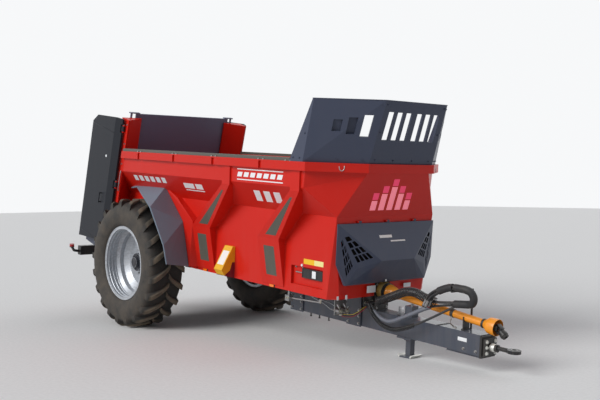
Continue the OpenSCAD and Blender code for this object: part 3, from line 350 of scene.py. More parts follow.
def make_tyre_rubber():
    """Rubber browned by yard dust on its side walls and on the lugs' tops, with painted shade darkening the
    grooves.
    """
    material, tree = new_material("tyre_rubber")
    where = add(tree, "TexCoord").outputs["Object"]
    broad = noise(tree, where, 5.0, 6.0, 0.65)
    grains = noise(tree, where, 90.0, 4.0, 0.7)
    fine = noise(tree, where, 600.0, 2.0)
    patches = spread(tree, broad, 0.35, 0.68)
    dust = sums(tree, "MULTIPLY", patches, spread(tree, grains, 0.3, 0.7, 0.4, 1.0))
    links = {0: where, 1: (ORIGIN_X, 0, -AXLE_Z)}
    about = add(tree, "VectorMath", links, operation="ADD").outputs["Vector"]
    about = add(tree, "VectorMath", {0: about, 1: (1, 0, 1)}, operation="MULTIPLY").outputs["Vector"]
    radius = add(tree, "VectorMath", {0: about}, operation="LENGTH").outputs["Value"]
    groove_shade = spread(tree, radius, *GROOVE_SHADE_RADII)
    crown = spread(tree, radius, *DUSTS_OVER)
    colour = mixed(tree, sums(tree, "MULTIPLY", dust, 0.55), linear(46, 44, 42), linear(104, 92, 78))
    # Painted shade: the rubber darkens towards near black from the grooves outwards, and the lugs' tops
    # take dust over it
    colour = mixed(tree, sums(tree, "MULTIPLY", groove_shade, 0.8), colour, linear(24, 22, 20))
    dusty = mixed(tree, dust, linear(74, 66, 56), linear(118, 104, 86))
    colour = mixed(tree, crown, colour, dusty)
    rough = spread(tree, grains, 0.3, 0.7, 0.72, 0.9)
    bump = sums(tree, "ADD", sums(tree, "MULTIPLY", fine, 0.4), grains)
    bent = add(tree, "Bump", {"Height": bump, "Strength": 0.5, "Distance": 0.0015})
    show(tree, {"Base Color": colour, "Roughness": rough, "Normal": bent.outputs["Normal"]})
    return material


tyre_rubber = make_tyre_rubber()

node_finishes = [
    (red_paint, "side_right side_left front_wall ribs_right ribs_left rim rear_posts"),
    (red_paint, "beater_right beater_left"),
    (grey_paint, "headboard beater_frame front_cover"),
    (beam_paint, "chassis drawbar jack_sleeve jack_leg"),
    (door_paint, "door_right door_left"),
    (gate_paint, "gate"),
    (fender_paint, "fender_right fender_left"),
    (black_paint, "axle hitch_plate tow_eye gate_cylinders beater_gearbox bumper pto_gearbox"),
    (black_paint, "pto_yoke pto_holder hose_holder level_window marker_arms"),
    (bright_steel, "valves brake_lever hose_plugs"),
    (worn_steel, "floor driveline conveyor_shafts conveyor_chains conveyor_slats"),
    (rim_paint, "rim_right rim_left"),
    (tyre_rubber, "tyre_right tyre_left"),
    (hose_rubber, "hose_a hose_b hose_c hose_d"),
    (guard_plastic, "pto_guard"),
    (red_lens, "rear_lamps"),
    (amber_lens, "side_lamps"),
    (chock_plastic, "wheel_chock"),
    (rail_paint, "top_rails"),
]
for finish, names in node_finishes:
    for name in names.split():
        for mesh_slot in nodes[name].material_slots:
            mesh_slot.material = finish


# Making pieces
def faces_round(verts):
    """The faces that meet at any of the vertices."""
    return list({face for vert in verts for face in vert.link_faces})


def edges_within(verts):
    """The edges that join two of the vertices."""
    near = {edge for vert in verts for edge in vert.link_edges}
    return [edge for edge in near if all(vert in verts for vert in edge.verts)]


def round_edges(bm, edges, offset):
    """Edges rounded in two steps."""
    bmesh.ops.bevel(
        bm, geom=edges, offset=offset, segments=2, profile=0.5, affect="EDGES", material=-1
    )


def finished(name, bm, finish, place=BODY, rides="body", sharp=32, stands_for=()):
    """The bmesh as a piece in its place, on the body that carries it."""
    bmesh.ops.transform(bm, matrix=place, verts=bm.verts)
    mesh = bpy.data.meshes.new(name)
    bm.to_mesh(mesh)
    bm.free()
    mesh.shade_smooth()
    mesh.set_sharp_from_angle(angle=math.radians(sharp))
    mesh.materials.append(finish)
    piece = in_scene(name, mesh)
    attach(piece, rides)
    if stands_for:
        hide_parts(*stands_for)
    return piece


def add_block(bm, low, high, bevel=0.0, place=GROUND):
    """A block between two corners, with rounded edges."""
    low, high = Vector(low), Vector(high)
    sized = Matrix.Translation((low + high) / 2) @ Matrix.Diagonal((*(high - low), 1))
    corners = bmesh.ops.create_cube(bm, size=1, matrix=place @ sized)["verts"]
    if bevel:
        round_edges(bm, edges_within(corners), bevel)


def along_way(start, end, axis="Z"):
    """The turn that lays an axis along the way from one point to another."""
    return (end - start).to_track_quat(axis, "Y" if axis == "Z" else "Z").to_matrix().to_4x4()


def add_rod(bm, start, end, radius, radius_end=None, sides=24, place=GROUND):
    """A round bar or cone between two points."""
    start, end = Vector(start), Vector(end)
    bmesh.ops.create_cone(
        bm,
        cap_ends=True,
        segments=sides,
        radius1=radius,
        radius2=radius if radius_end is None else radius_end,
        depth=(end - start).length,
        matrix=place @ Matrix.Translation((start + end) / 2) @ along_way(start, end),
    )


def new_outline(bm, profile):
    """A closed outline in the plane of x and z, its points given as radius and height."""
    ring = [bm.verts.new((radius, 0, height)) for radius, height in profile]
    return ring + [bm.edges.new(pair) for pair in zip(ring, ring[1:] + ring[:1])]


def add_spun(bm, profile, steps=48, place=GROUND):
    """A closed profile of radius and height, turned about z."""
    before = set(bm.verts)
    bmesh.ops.spin(
        bm,
        geom=new_outline(bm, profile),
        cent=(0, 0, 0),
        axis=(0, 0, 1),
        angle=2 * math.pi,
        steps=steps,
        use_merge=True,
    )
    made = [vert for vert in bm.verts if vert not in before]
    bmesh.ops.remove_doubles(bm, verts=made, dist=1e-6)
    made = [vert for vert in bm.verts if vert not in before]
    bmesh.ops.recalc_face_normals(bm, faces=faces_round(made))
    bmesh.ops.transform(bm, matrix=place, verts=made)


def add_plate(bm, corners, thickness):
    """A flat plate on an outline, thickened to the side that its corners run round."""
    face = bm.faces.new([bm.verts.new(corner) for corner in corners])
    face.normal_update()
    off = face.normal * thickness
    made = bmesh.ops.extrude_face_region(bm, geom=[face])["geom"]
    top = [item for item in made if isinstance(item, bmesh.types.BMVert)]
    bmesh.ops.translate(bm, vec=off, verts=top)
    bmesh.ops.recalc_face_normals(bm, faces=[*faces_round(top), face])


WASHER = 0.003


def add_bolt(bm, spot, out, across=0.019, place=GROUND):
    """A hexagon head on its washer, standing out from a face."""
    spot, out = Vector(spot), Vector(out).normalized()
    seat = spot + out * WASHER
    add_rod(bm, spot - out * 0.001, seat, across * 0.85, sides=20, place=place)
    add_rod(bm, seat, spot + out * (WASHER + across * 0.6), across * 0.577, sides=6, place=place)


def new_tube(name, points, radius, finish, place=BODY, rides="body", sides=6):
    """A pipe, wire or hose that follows points, as a curve of one open spline."""
    data = bpy.data.curves.new(name, "CURVE")
    data.dimensions = "3D"
    data.bevel_depth = radius
    data.bevel_resolution = sides
    data.use_fill_caps = True
    line = data.splines.new("POLY")
    line.points.add(len(points) - 1)
    for knot, point in zip(line.points, points):
        knot.co = (*(place @ Vector(point)), 1)
    line.use_smooth = True
    data.materials.append(finish)
    tube = in_scene(name, data)
    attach(tube, rides)
    return tube


def smooth_route(route, steps):
    """Points of a smooth curve through a route's points."""
    points = [Vector(p) for p in route]
    made = []
    for i in range(len(points) - 1):
        a, b = points[max(i - 1, 0)], points[i]
        c, d = points[i + 1], points[min(i + 2, len(points) - 1)]
        for k in range(steps):
            t = k / steps
            along = (c - a) * t + (2 * a - 5 * b + 4 * c - d) * t * t
            made.append((2 * b + along + (3 * b - a - 3 * c + d) * t**3) / 2)
    return [*made, points[-1]]


# Hoses, on the routes of their solids: a lead each, then the loop that all four share
HOSE_D = 0.026
LOOP_X = 5.09
LOOP_Z = 1.11
LOOP_R = 0.08
AHEAD_Y = -0.148
BACK_Y = -0.22

# How far each hose lies aside and out from the middle of the loop
PACK = 0.0155

plug_caps = {
    "hose_a": red_plastic,
    "hose_b": black_plastic,
    "hose_c": red_plastic,
    "hose_d": black_plastic,
}
hose_leads = {
    "hose_a": [
        (3.6615, -0.134, 0.832), (3.687, -0.134, 0.832), (3.715, -0.134, 0.834),
        (3.83, -0.137, 0.88), (4.02, -0.137, 0.966), (4.2, -0.137, 1.042),
        (4.34, -0.136, 1.05), (4.47, -0.134, 1.014), (4.62, -0.132, 0.984),
    ],
    "hose_b": [
        (3.6615, -0.17, 0.832), (3.687, -0.17, 0.832), (3.715, -0.17, 0.834),
        (3.85, -0.172, 0.874), (4.04, -0.172, 0.948), (4.22, -0.17, 1.016),
        (4.36, -0.167, 1.028), (4.49, -0.165, 1.0), (4.63, -0.164, 0.984),
    ],
    "hose_c": [
        (3.6615, -0.205, 0.825), (3.687, -0.205, 0.825), (3.715, -0.205, 0.819),
        (3.8, -0.21, 0.735), (3.92, -0.214, 0.68), (4.06, -0.212, 0.678),
        (4.29, -0.196, 0.782), (4.5, -0.165, 0.89), (4.65, -0.136, 0.942),
    ],
    "hose_d": [
        (3.6615, -0.24, 0.825), (3.687, -0.24, 0.825), (3.715, -0.24, 0.819),
        (3.79, -0.248, 0.726), (3.93, -0.254, 0.632), (4.08, -0.252, 0.602),
        (4.22, -0.248, 0.622), (4.42, -0.236, 0.7), (4.64, -0.208, 0.819),
        (4.78, -0.184, 0.903), (4.87, -0.168, 0.955),
    ],
}
hose_layers = {"hose_a": (1, -1), "hose_b": (-1, -1), "hose_c": (1, 1), "hose_d": (-1, 1)}

# The stretches of a hose's points that a spring or a sleeve covers
PAIR_SPRING = slice(13, 41)
HOSE_D_SPRING = slice(12, 36)
HOSE_C_SLEEVE = slice(14, 38)


def half_loop(y, radius):
    """Points round the loop from its foot to its head, drifting aside on the way."""
    made = []
    for angle in (-90, -45, 0, 45, 90):
        turn = math.radians(angle)
        aside = (BACK_Y - AHEAD_Y) * (angle + 90) / 180
        made.append((LOOP_X + radius * math.cos(turn), y + aside, LOOP_Z + radius * math.sin(turn)))
    return made


def loop_route(across, out):
    """One hose's way under, round and over the loop, and down to its plug."""
    y = AHEAD_Y + across * PACK
    radius = LOOP_R + out * PACK
    made = []
    for x in (4.82, 4.95):
        # The lead of hose_d already passes the first of these
        if x > 4.9 or out < 0 or across > 0:
            made.append((x, y, LOOP_Z - radius - (LOOP_X - x) * 0.14))
    made += half_loop(y, radius)
    falls = ((4.94, 0, 0), (4.8, -0.036, 15), (4.7, -0.084, 35), (4.625, -0.14, 60), (4.59, -0.2, 75))
    for x, z, tilt in falls:
        turn = math.radians(tilt)
        spread_y = BACK_Y + across * PACK * (1 + tilt / 150)
        off_x, off_z = -out * PACK * math.sin(turn), out * PACK * math.cos(turn)
        made.append((x + off_x, spread_y, LOOP_Z + LOOP_R + z + off_z))
    return made


def hose_path(name):
    """The middle line of one hose, from its gland to its plug."""
    return smooth_route(hose_leads[name] + loop_route(*hose_layers[name]), 5)


def add_plug(bm, place):
    """A coupling plug: ferrule, hexagon, collar and nose, 70 mm long."""
    add_rod(bm, (0, 0, -0.02), (0, 0, 0.012), 0.0165, place=place)
    add_rod(bm, (0, 0, 0.012), (0, 0, 0.03), 0.0169, sides=6, place=place)
    add_rod(bm, (0, 0, 0.03), (0, 0, 0.055), 0.0165, place=place)
    add_rod(bm, (0, 0, 0.055), (0, 0, 0.07), 0.012, 0.0095, place=place)


def coil_route(path, radius, pitch, steps):
    """Points of a spring wound round a path."""
    made = []
    turn = 0.0
    for a, b in zip(path, path[1:]):
        ahead = (b - a).normalized()
        out = ahead.cross(Vector((0, 1, 0))).normalized()
        up = out.cross(ahead)
        count = max(1, round((b - a).length / pitch * steps))
        for k in range(count):
            made.append(a.lerp(b, k / count) + radius * (out * math.cos(turn) + up * math.sin(turn)))
            turn += 2 * math.pi / steps
    return made


def bundle_routes():
    """The middle of the bundle round the loop and behind it, where a woven sleeve holds it."""
    round_loop = [(4.9, AHEAD_Y, 1.0034), (4.98, AHEAD_Y, 1.0146), *half_loop(AHEAD_Y, LOOP_R)]
    round_loop += [(5.02, BACK_Y, 1.191), (4.953, BACK_Y, 1.191)]
    behind = [(x, BACK_Y, z) for x, z in ((4.927, 1.189), (4.87, 1.178), (4.8, 1.154), (4.735, 1.124))]
    return [smooth_route(round_loop, 6), smooth_route(behind, 6)]


for name in hose_leads:
    path = hose_path(name)
    hose = new_tube(name + "_rubber", path, HOSE_D / 2, hose_rubber)
    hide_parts(name)
    end_place = Matrix.Translation(path[-1]) @ along_way(path[-2], path[-1])
    bm = bmesh.new()
    add_plug(bm, end_place)
    extras = [finished(name + "_plug", bm, bright_steel, stands_for=["hose_plugs"])]
    bm = bmesh.new()
    cap = [(0.0, 0.058), (0.0168, 0.058), (0.0168, 0.066), (0.0135, 0.0695), (0.0, 0.0698)]
    add_spun(bm, cap, 24, end_place)
    extras.append(finished(name + "_cap", bm, plug_caps[name]))
    if name == "hose_a":
        pair = zip(path[PAIR_SPRING], hose_path("hose_b")[PAIR_SPRING])
        middle = [(a + b) / 2 for a, b in pair]
        coil = coil_route(middle, radius=0.046, pitch=0.022, steps=14)
        extras.append(new_tube("bundle_spring", coil, 0.0055, spring_wire, sides=2))
        for number, bundle in enumerate(bundle_routes()):
            extras.append(new_tube(f"bundle_sleeve_{number + 1}", bundle, 0.041, sleeve_cloth))
    if name == "hose_d":
        coil = coil_route(path[HOSE_D_SPRING], radius=0.022, pitch=0.02, steps=12)
        extras.append(new_tube("hose_d_spring", coil, 0.0045, spring_wire, sides=2))
    if name == "hose_c":
        extras.append(new_tube(name + "_sleeve", path[HOSE_C_SLEEVE], 0.024, sleeve_plastic))

# Tyres with chevron lugs
LUG_PAIRS = 21
WHEEL_R = AXLE_Z
LUG_FOOT_R = 0.832
tyre_profile = [
    (0.484, 0.203), (0.500, 0.206), (0.518, 0.211), (0.528, 0.226), (0.542, 0.243), (0.560, 0.252),
    (0.597, 0.269), (0.640, 0.277), (0.662, 0.2785), (0.700, 0.277), (0.7365, 0.270), (0.770, 0.262),
    (0.790, 0.249), (0.812, 0.222), (0.830, 0.180), (0.8405, 0.120), (0.8445, 0.060), (0.8445, 0.0),
]


def mirrored(profile):
    """Half a wheel's profile, followed by its mirror image across the middle."""
    return [*profile, *[(radius, -half) for radius, half in reversed(profile[:-1])]]


def add_lug(bm, half, turn, side):
    """One lug from the middle of the tread out over the shoulder, bent round the tyre."""
    before = set(bm.verts)
    bmesh.ops.create_grid(bm, x_segments=7, y_segments=1, size=0.5)
    flat = [vert for vert in bm.verts if vert not in before]
    raised = bmesh.ops.extrude_face_region(bm, geom=faces_round(flat))["geom"]
    tops = {item for item in raised if isinstance(item, bmesh.types.BMVert)}
    made = [vert for vert in bm.verts if vert not in before]
    for vert in made:
        along = vert.co.x + 0.5
        top = vert in tops
        # Wider towards the shoulder, and wider at the foot than on top
        width = (0.066 + 0.030 * along) * (0.80 if top else 1.12)
        across = -0.008 + 0.268 * along
        sweep = 0.235 * along**0.72 + vert.co.y * width / WHEEL_R
        # The top bends down, and the foot follows the tyre, towards the shoulder
        crown = WHEEL_R - 0.045 * (max(0.0, along - 0.72) / 0.28) ** 2
        foot = LUG_FOOT_R - 0.10 * max(0.0, along - 0.8) / 0.2
        radius = crown if top else foot
        if along > 0.99:
            across = 0.254 if top else 0.266
            radius = 0.846 if top else 0.72
        angle = side * (turn + sweep)
        vert.co = (radius * math.cos(angle), radius * math.sin(angle), half * across)
    top_faces = {face for face in faces_round(tops) if all(vert in tops for vert in face.verts)}
    rim = [edge for edge in edges_within(tops) if len(top_faces.intersection(edge.link_faces)) == 1]
    bmesh.ops.recalc_face_normals(bm, faces=faces_round(made))
    round_edges(bm, rim, 0.006)


def make_tyre(name, side):
    """A tyre's body, open to the rim, with its lugs in two rows half a pitch apart."""
    bm = bmesh.new()
    inner = [(0.484, -0.17), (0.560, -0.225), (0.700, -0.245), (0.80, -0.2), (0.815, 0.0)]
    add_spun(bm, mirrored(tyre_profile) + mirrored(inner), 96)
    pitch = 2 * math.pi / LUG_PAIRS
    for k in range(LUG_PAIRS):
        add_lug(bm, 1, k * pitch, side)
        add_lug(bm, -1, (k + 0.5) * pitch, side)
    body = "wheel_" + name.split("_")[1]
    finished(name + "_rubber", bm, tyre_rubber, wheel_place(side), body, stands_for=[name])


make_tyre("tyre_right", -1)
make_tyre("tyre_left", 1)


# Films on the ribs: a tapered one above the knee, a straight one below it
RIBS = [(1.02, 1.91), (2.44, 3.23)]
RIB_FOOT = 0.41
RIB_HEAD = 0.16


def add_film(bm, corners, out, thickness=0.0008):
    """A thin film laid on a face and thickened outwards."""
    a, b, c = [Vector(corner) for corner in corners[:3]]
    if (b - a).cross(c - a).dot(Vector(out)) < 0:
        corners = corners[::-1]
    add_plate(bm, corners, thickness)


def face_point(low, high, across, up):
    """A point on a face between its lower and its upper edge."""
    start = Vector(low[0]).lerp(Vector(low[1]), across)
    end = Vector(high[0]).lerp(Vector(high[1]), across)
    return start.lerp(end, up)


for side, label in SIDES:
    bm = bmesh.new()
    for foot, head in RIBS:
        sill = [(foot, side * 0.8, 0.935), (foot + RIB_FOOT, side * 0.8, 0.935)]
        knee = [(foot, side * 0.9, 1.5), (foot + RIB_FOOT, side * 0.9, 1.5)]
        top = [(head, side * 1.07, 2.1), (head + RIB_HEAD, side * 1.07, 2.1)]
        for low, high, spots in (
            (sill, knee, ((0.26, 0.2), (0.74, 0.2), (0.74, 0.83), (0.26, 0.83))),
            (knee, top, ((0.3, 0.07), (0.8, 0.07), (0.64, 0.87), (0.44, 0.87))),
        ):
            add_film(bm, [face_point(low, high, *spot) for spot in spots], (0, side, 0.1))
    finished("rib_films_" + label, bm, olive_film)


def add_stripes(bm, face, rows, out):
    """Plain stripes and bars, each a start, an end, a foot, a head and a slant on its face."""
    for start, end, foot, head, slant in rows:
        corners = [face(start, foot), face(end, foot), face(end + slant, head), face(start + slant, head)]
        add_film(bm, corners, out)


# White stripes and blocks: on the upright band below the rim, and on the flare beneath it
band_rows = [(2.2, 3.08, 2.292, 2.304, 0.0), (2.2, 3.08, 2.168, 2.18, 0.0)]
band_rows += [(2.2 + 0.128 * k, 2.29 + 0.128 * k, 2.208, 2.264, 0.02) for k in range(7)]
flare_rows = [(2.38 + 0.19 * k, 2.5 + 0.19 * k, 0.3, 0.72, 0.055) for k in range(3)]
flare_rows += [(-0.4 + 0.15 * k, -0.3 + 0.15 * k, 0.62, 0.86, 0.03) for k in range(6)]
flare_rows += [(0.86, 1.1, 0.5, 0.72, 0.03), (1.14, 1.3, 0.5, 0.72, 0.03), (0.86, 1.3, 0.4, 0.44, 0.0)]
for side, label in SIDES:
    bm = bmesh.new()
    add_stripes(bm, lambda x, z: (x, side * 1.05, z), band_rows, (0, side, 0))
    add_stripes(
        bm,
        lambda x, up: (x, side * (0.79 + 0.26 * up), 1.83 + 0.31 * up),
        flare_rows,
        (0, side, -0.8),
    )
    finished("side_stripes_" + label, bm, white_film)


def front_face(y, z):
    """A point of the front panel over the cover, which leans forward."""
    return (3.72 + 0.323 * (z - 1.83), y, z)


def cover_face(y, z):
    """A point of the cover's upper panel."""
    return (3.74 + 0.454 * (1.757 - z), y, z)


# Bars on the front panel, each with a darker block over a small gap, and two stripes on the cover
FRONT_OUT = (1, 0, -0.3)
BAR_W = 0.09
BAR_TOP = 0.078
BAR_GAP = 0.012
bars = [(-0.315 + 0.135 * k, 1.9 + height) for k, height in enumerate((0.2, 0.28, 0.36, 0.28, 0.2))]
low_rows = [(y, y + BAR_W, 1.9, head - BAR_TOP - BAR_GAP, 0.0) for y, head in bars]
top_rows = [(y, y + BAR_W, head - BAR_TOP, head, 0.0) for y, head in bars]
bm = bmesh.new()
# Both films of the bars glow a little, as painted light
add_stripes(bm, front_face, low_rows, FRONT_OUT)
finished("front_bars", bm, pink_film)
bm = bmesh.new()
add_stripes(bm, cover_face, [(-0.2, 0.0, 1.59, 1.62, 0.0), (-0.04, 0.2, 1.545, 1.56, 0.0)], (1, 0, 0.45))
finished("cover_bars", bm, pale_film, rides="cover")
bm = bmesh.new()
add_stripes(bm, front_face, top_rows, FRONT_OUT)
finished("front_bar_tops", bm, rose_film)

# Black sheets of painted shade behind the open cells of the cover, and in its sunk cells, row by row
cell_rows = ((0.3, 0.4, 1), (0.43, 0.55, 2), (0.58, 0.71, 3), (0.74, 0.88, 4))
bm = bmesh.new()
for side, _ in SIDES:
    top, middle = Vector((3.74, side * 0.77, 1.73)), Vector((3.815, side * 0.545, 1.275))
    behind = Vector((0.036, side * 0.03, 0))
    for corner in (Vector((3.885, side * 0.285, 1.36)), Vector((3.752, side * 0.64, 1.09))):
        spots = [top - Vector((0.012, side * 0.02, 0)), middle - behind, corner - behind]
        add_film(bm, spots, (1, side * 0.5, 0), 0.002)
    tip, inner, outer = [
        Vector((x, side * y, z))
        for x, y, z in ((3.74, 0.785, 1.757), (3.819, 0.553, 1.258), (3.927, 0.267, 1.345))
    ]
    sunk = Vector((0.937, side * 0.349, -0.014)) * -0.0045
    for down, lower, count in cell_rows:
        for k in range(count):
            start, end = 0.14 + 0.76 * k / count, 0.14 + 0.76 * (k + 0.72) / count
            spots = [
                tip.lerp(inner.lerp(outer, along), share) + sunk
                for share, along in ((down, start), (down, end), (lower, end), (lower, start))
            ]
            add_film(bm, spots, (0.937, side * 0.349, 0), 0.0005)
finished("cover_shade_sheets", bm, shade_black, rides="cover")

# Blank plates on the front wall, the drawbar and the side, a round button, and two strips above
bm = bmesh.new()
for y_low, y_high, z_low, z_high in (
    (-0.28, -0.14, 0.95, 1.03),
    (0.33, 0.45, 0.97, 1.02),
    (-0.745, -0.715, 0.905, 0.95),
    (-0.615, -0.585, 0.905, 0.955),
):
    add_block(bm, (3.7198, y_low, z_low), (3.7215, y_high, z_high), 0.0005)
add_block(bm, (4.92, -0.1012, 0.62), (5.04, -0.0998, 0.66), 0.0004)
add_block(bm, (3.335, -0.7862, 1.102), (3.4, -0.7795, 1.184), 0.002)
button = [(0, -0.002), (0.016, -0.002), (0.016, 0.008), (0.011, 0.014), (0, 0.015)]
add_spun(bm, button, 24, moved(3.167, -0.79, 1.232) @ turned(90, "X"))
finished("blank_plates", bm, white_film)
for name, start, end, finish in (
    ("amber_strip", 3.19, 3.375, yellow_film),
    ("straw_strip", 3.375, 3.53, straw_film),
):
    bm = bmesh.new()
    corners = ((start, 1.253), (end, 1.253), (end, 1.312), (start, 1.312))
    add_film(bm, [(x, -0.79, z) for x, z in corners], (0, -1, 0))
    finished(name, bm, finish)

# Level gauge: its bright slide rod, two bolts, and the frame round its slot
bm = bmesh.new()
add_rod(bm, (3.032, -0.766, 1.14), (3.159, -0.766, 1.14), 0.0072)
add_bolt(bm, (3.145, -0.752, 1.195), (0, -1, 0), 0.014)
add_bolt(bm, (3.02, -0.752, 1.195), (0, -1, 0), 0.014)
finished("gauge_rod", bm, bright_steel)
bm = bmesh.new()
for x_low, x_high, z_low, z_high in (
    (3.157, 3.169, 1.088, 1.197),
    (3.501, 3.513, 1.088, 1.197),
    (3.157, 3.513, 1.185, 1.197),
    (3.157, 3.513, 1.088, 1.1),
):
    add_block(bm, (x_low, -0.784, z_low), (x_high, -0.7795, z_high), 0.0015)
finished("gauge_frame", bm, black_plastic)

# Rim on the hopper: bolts at its joints, and a hook beneath each front corner
bm = bmesh.new()
for side, _ in SIDES:
    for x in (-0.086, 0.828, 1.74, 2.702, 3.2):
        for off in (-0.045, 0.045):
            add_bolt(bm, (x + off, side * 1.085, 2.43), (0, 0, 1), 0.019)
finished("rim_bolts", bm, bright_steel)
hook_half = [(0.028, -0.004, 0.02), (0.028, 0.012, 0.018), (0.028, 0.016, 0.0), (0.02, 0.017, -0.024)]
hook_spots = [(-across, off, up) for across, off, up in hook_half]
hook_spots += [(0.0, 0.018, -0.036), *reversed(hook_half)]
for side, label in SIDES:
    start, end = Vector((3.46, side * 1.1, 2.38)), Vector((3.925, side * 0.54, 2.38))
    along, out = (end - start).normalized(), Vector((0.77, side * 0.64, 0)).normalized()
    middle = start.lerp(end, 0.6)
    hook = [middle + along * across + out * off + Vector((0, 0, up)) for across, off, up in hook_spots]
    new_tube("rim_hook_" + label, smooth_route(hook, 4), 0.005, bright_steel)

# Weld beads where the ribs meet the side
for side, label in SIDES:
    for k, (foot, head) in enumerate(RIBS):
        for edge, low, high in (("rear", foot, head), ("front", foot + RIB_FOOT, head + RIB_HEAD)):
            route = [
                (low, side * 0.791, 0.95), (low, side * 0.791, 1.5),
                (low + 0.55 * (high - low), side * 0.791, 1.83),
                (high, side * 1.045, 2.135), (high, side * 1.051, 2.32),
            ]
            new_tube(f"rib_weld_{label}_{k}_{edge}", route, 0.0035, red_paint, sides=2)

# Fenders: a rolled edge round the outside
fender_edge = [
    (-0.64, 0.88, 1.895), (-0.45, 0.9, 1.915), (0.6, 1.3, 1.71), (0.96, 1.3, 1.24), (1.05, 1.3, 1.0),
]
for side, label in SIDES:
    route = [(x, side * y, z) for x, y, z in fender_edge]
    new_tube("fender_edge_" + label, route, 0.008, fender_paint, sides=3)

# Headboard: bolts along the foot of each panel and beside its folds, and a hem round its top
board_low = [(3.91, 0.0, 2.43), (3.91, 0.518, 2.43), (3.46, 1.095, 2.43), (3.23, 1.095, 2.43)]
board_top = [(4.127, 0.0, 3.13), (4.127, 0.494, 3.13), (3.57, 1.055, 3.13), (3.555, 1.055, 3.13)]
board_out = [(1.0, 0.0, -0.3), (0.78, 0.6, -0.25), (0.05, 1.0, 0.05)]
board_bolts = [
    ((0.3, 0.06), (0.85, 0.06), (0.93, 0.5), (0.93, 0.93)),
    ((0.12, 0.06), (0.5, 0.06), (0.88, 0.06), (0.5, 0.27), (0.06, 0.93)),
    ((0.3, 0.06), (0.8, 0.06), (0.35, 0.45)),
]


def board_point(panel, along, up, side):
    """A point on the headboard's outer face."""
    ends = (board_low[panel], board_low[panel + 1]), (board_top[panel], board_top[panel + 1])
    x, y, z = face_point(*ends, along, up)
    return (x, side * y, z)


bm = bmesh.new()
for side, _ in SIDES:
    for panel, spots in enumerate(board_bolts):
        x, y, z = board_out[panel]
        for spot in spots:
            add_bolt(bm, board_point(panel, *spot, side), (x, side * y, z), 0.013)
finished("headboard_bolts", bm, grey_paint)
for side, label in SIDES:
    folds = ((0, 0.0), (0, 1.0), (1, 1.0), (2, 1.0))
    route = [board_point(panel, along, 0.992, side) for panel, along in folds]
    new_tube("headboard_hem_" + label, route, 0.005, grey_paint, sides=3)


def round_spots(count, radius, start=0.0):
    """Even spots round a circle about z, as x and y."""
    turns = [math.radians(start + 360 * k / count) for k in range(count)]
    return [(radius * math.cos(turn), radius * math.sin(turn)) for turn in turns]


# Wheels: the hub's cover, nuts on studs with the valve, and the rim's rolled lips and beads
hub_profile = [(0, 0.0475), (0.064, 0.0475), (0.0715, 0.043), (0.0812, 0.0068), (0.121, 0.0068)]
hub_profile += [(0.1268, 0.001), (0.1268, -0.0795), (0.145, -0.0795), (0.145, -0.0808), (0, -0.0808)]
for side, label in SIDES:
    place, body = wheel_place(side), "wheel_" + label
    bm = bmesh.new()
    add_spun(bm, hub_profile, 48, place)
    for x, y in round_spots(6, 0.1, 12):
        add_bolt(bm, (x, y, 0.0068), (0, 0, 1), 0.013, place)
    finished("hub_" + label, bm, hub_paint, GROUND, body)
    bm = bmesh.new()
    for x, y in round_spots(10, 0.1675):
        add_bolt(bm, (x, y, -0.081), (0, 0, 1), 0.027, place)
        add_rod(bm, (x, y, -0.066), (x, y, -0.049), 0.009, sides=12, place=place)
    add_rod(bm, (0.474, 0, 0.1), (0.44, 0, 0.135), 0.0055, place=place)
    finished("wheel_nuts_" + label, bm, bright_steel, GROUND, body)
    bm = bmesh.new()
    for off in (0.2165, -0.2165):
        turns = (0, 0.8, 1.6, 2.4, 3.2, 4, 4.8, 5.6)
        ring = [(0.5085 + 0.006 * math.cos(a), off + 0.006 * math.sin(a)) for a in turns]
        add_spun(bm, ring, 96, place)
    for off in (0.07, 0.118, 0.17):
        bead = [(0.4745, off), (0.4665, off + 0.005), (0.4665, off + 0.013), (0.4745, off + 0.018)]
        add_spun(bm, bead, 96, place)
    finished("rim_lips_" + label, bm, rim_paint, GROUND, body)

# Input shaft: bell, ribbed collar, cone, tube and end bell of its guard
bm = bmesh.new()
bell = [(0.03, 0), (0.104, 0), (0.105, 0.004), (0.1005, 0.064), (0.098, 0.068), (0.03, 0.068)]
add_spun(bm, bell, 48, SHAFT)
finished("guard_bell", bm, bell_plastic, GROUND, stands_for=["pto_guard"])
bm = bmesh.new()
collar = [(0.03, 0.064)]
for k in range(4):
    r, z = 0.098 - 0.001 * k, 0.066 + 0.0115 * k
    collar += [(r, z), (r, z + 0.006), (r - 0.0055, z + 0.008)]
collar += [(0.092, 0.112), (0.03, 0.112)]
band = [(0.03, 1.05), (0.0462, 1.05), (0.047, 1.054), (0.047, 1.086), (0.0462, 1.09), (0.03, 1.09)]
end_band = [(0.03, 1.47), (0.049, 1.47), (0.051, 1.475), (0.051, 1.492), (0.049, 1.497), (0.03, 1.497)]
for profile in (collar, band, end_band):
    add_spun(bm, profile, 48, SHAFT)
finished("guard_collars", bm, black_plastic, GROUND)
bm = bmesh.new()
cone = [(0.03, 0.108), (0.09, 0.108)]
for k in range(6):
    z, r = 0.114 + 0.028 * k, 0.089 - 0.0072 * k
    cone += [(r, z), (r + 0.0012, z + 0.006), (r - 0.0012, z + 0.014), (r - 0.0062, z + 0.024)]
cone += [(0.0445, 0.29), (0.03, 0.3)]
tube = [(0.036, 0.28), (0.0425, 0.28), (0.0425, SHAFT_L - 0.17), (0.036, SHAFT_L - 0.17)]
end_bell = [(0.036, SHAFT_L - 0.168), (0.045, SHAFT_L - 0.164), (0.049, SHAFT_L - 0.15)]
end_bell += [(0.083, SHAFT_L - 0.104), (0.086, SHAFT_L - 0.09), (0.0895, SHAFT_L - 0.004), (0.088, SHAFT_L)]
end_bell += [(0.085, SHAFT_L), (0.0815, SHAFT_L - 0.03), (0.079, SHAFT_L - 0.096)]
end_bell += [(0.045, SHAFT_L - 0.142), (0.036, SHAFT_L - 0.142)]
for profile in (cone, tube, end_bell):
    add_spun(bm, profile, 48, SHAFT)
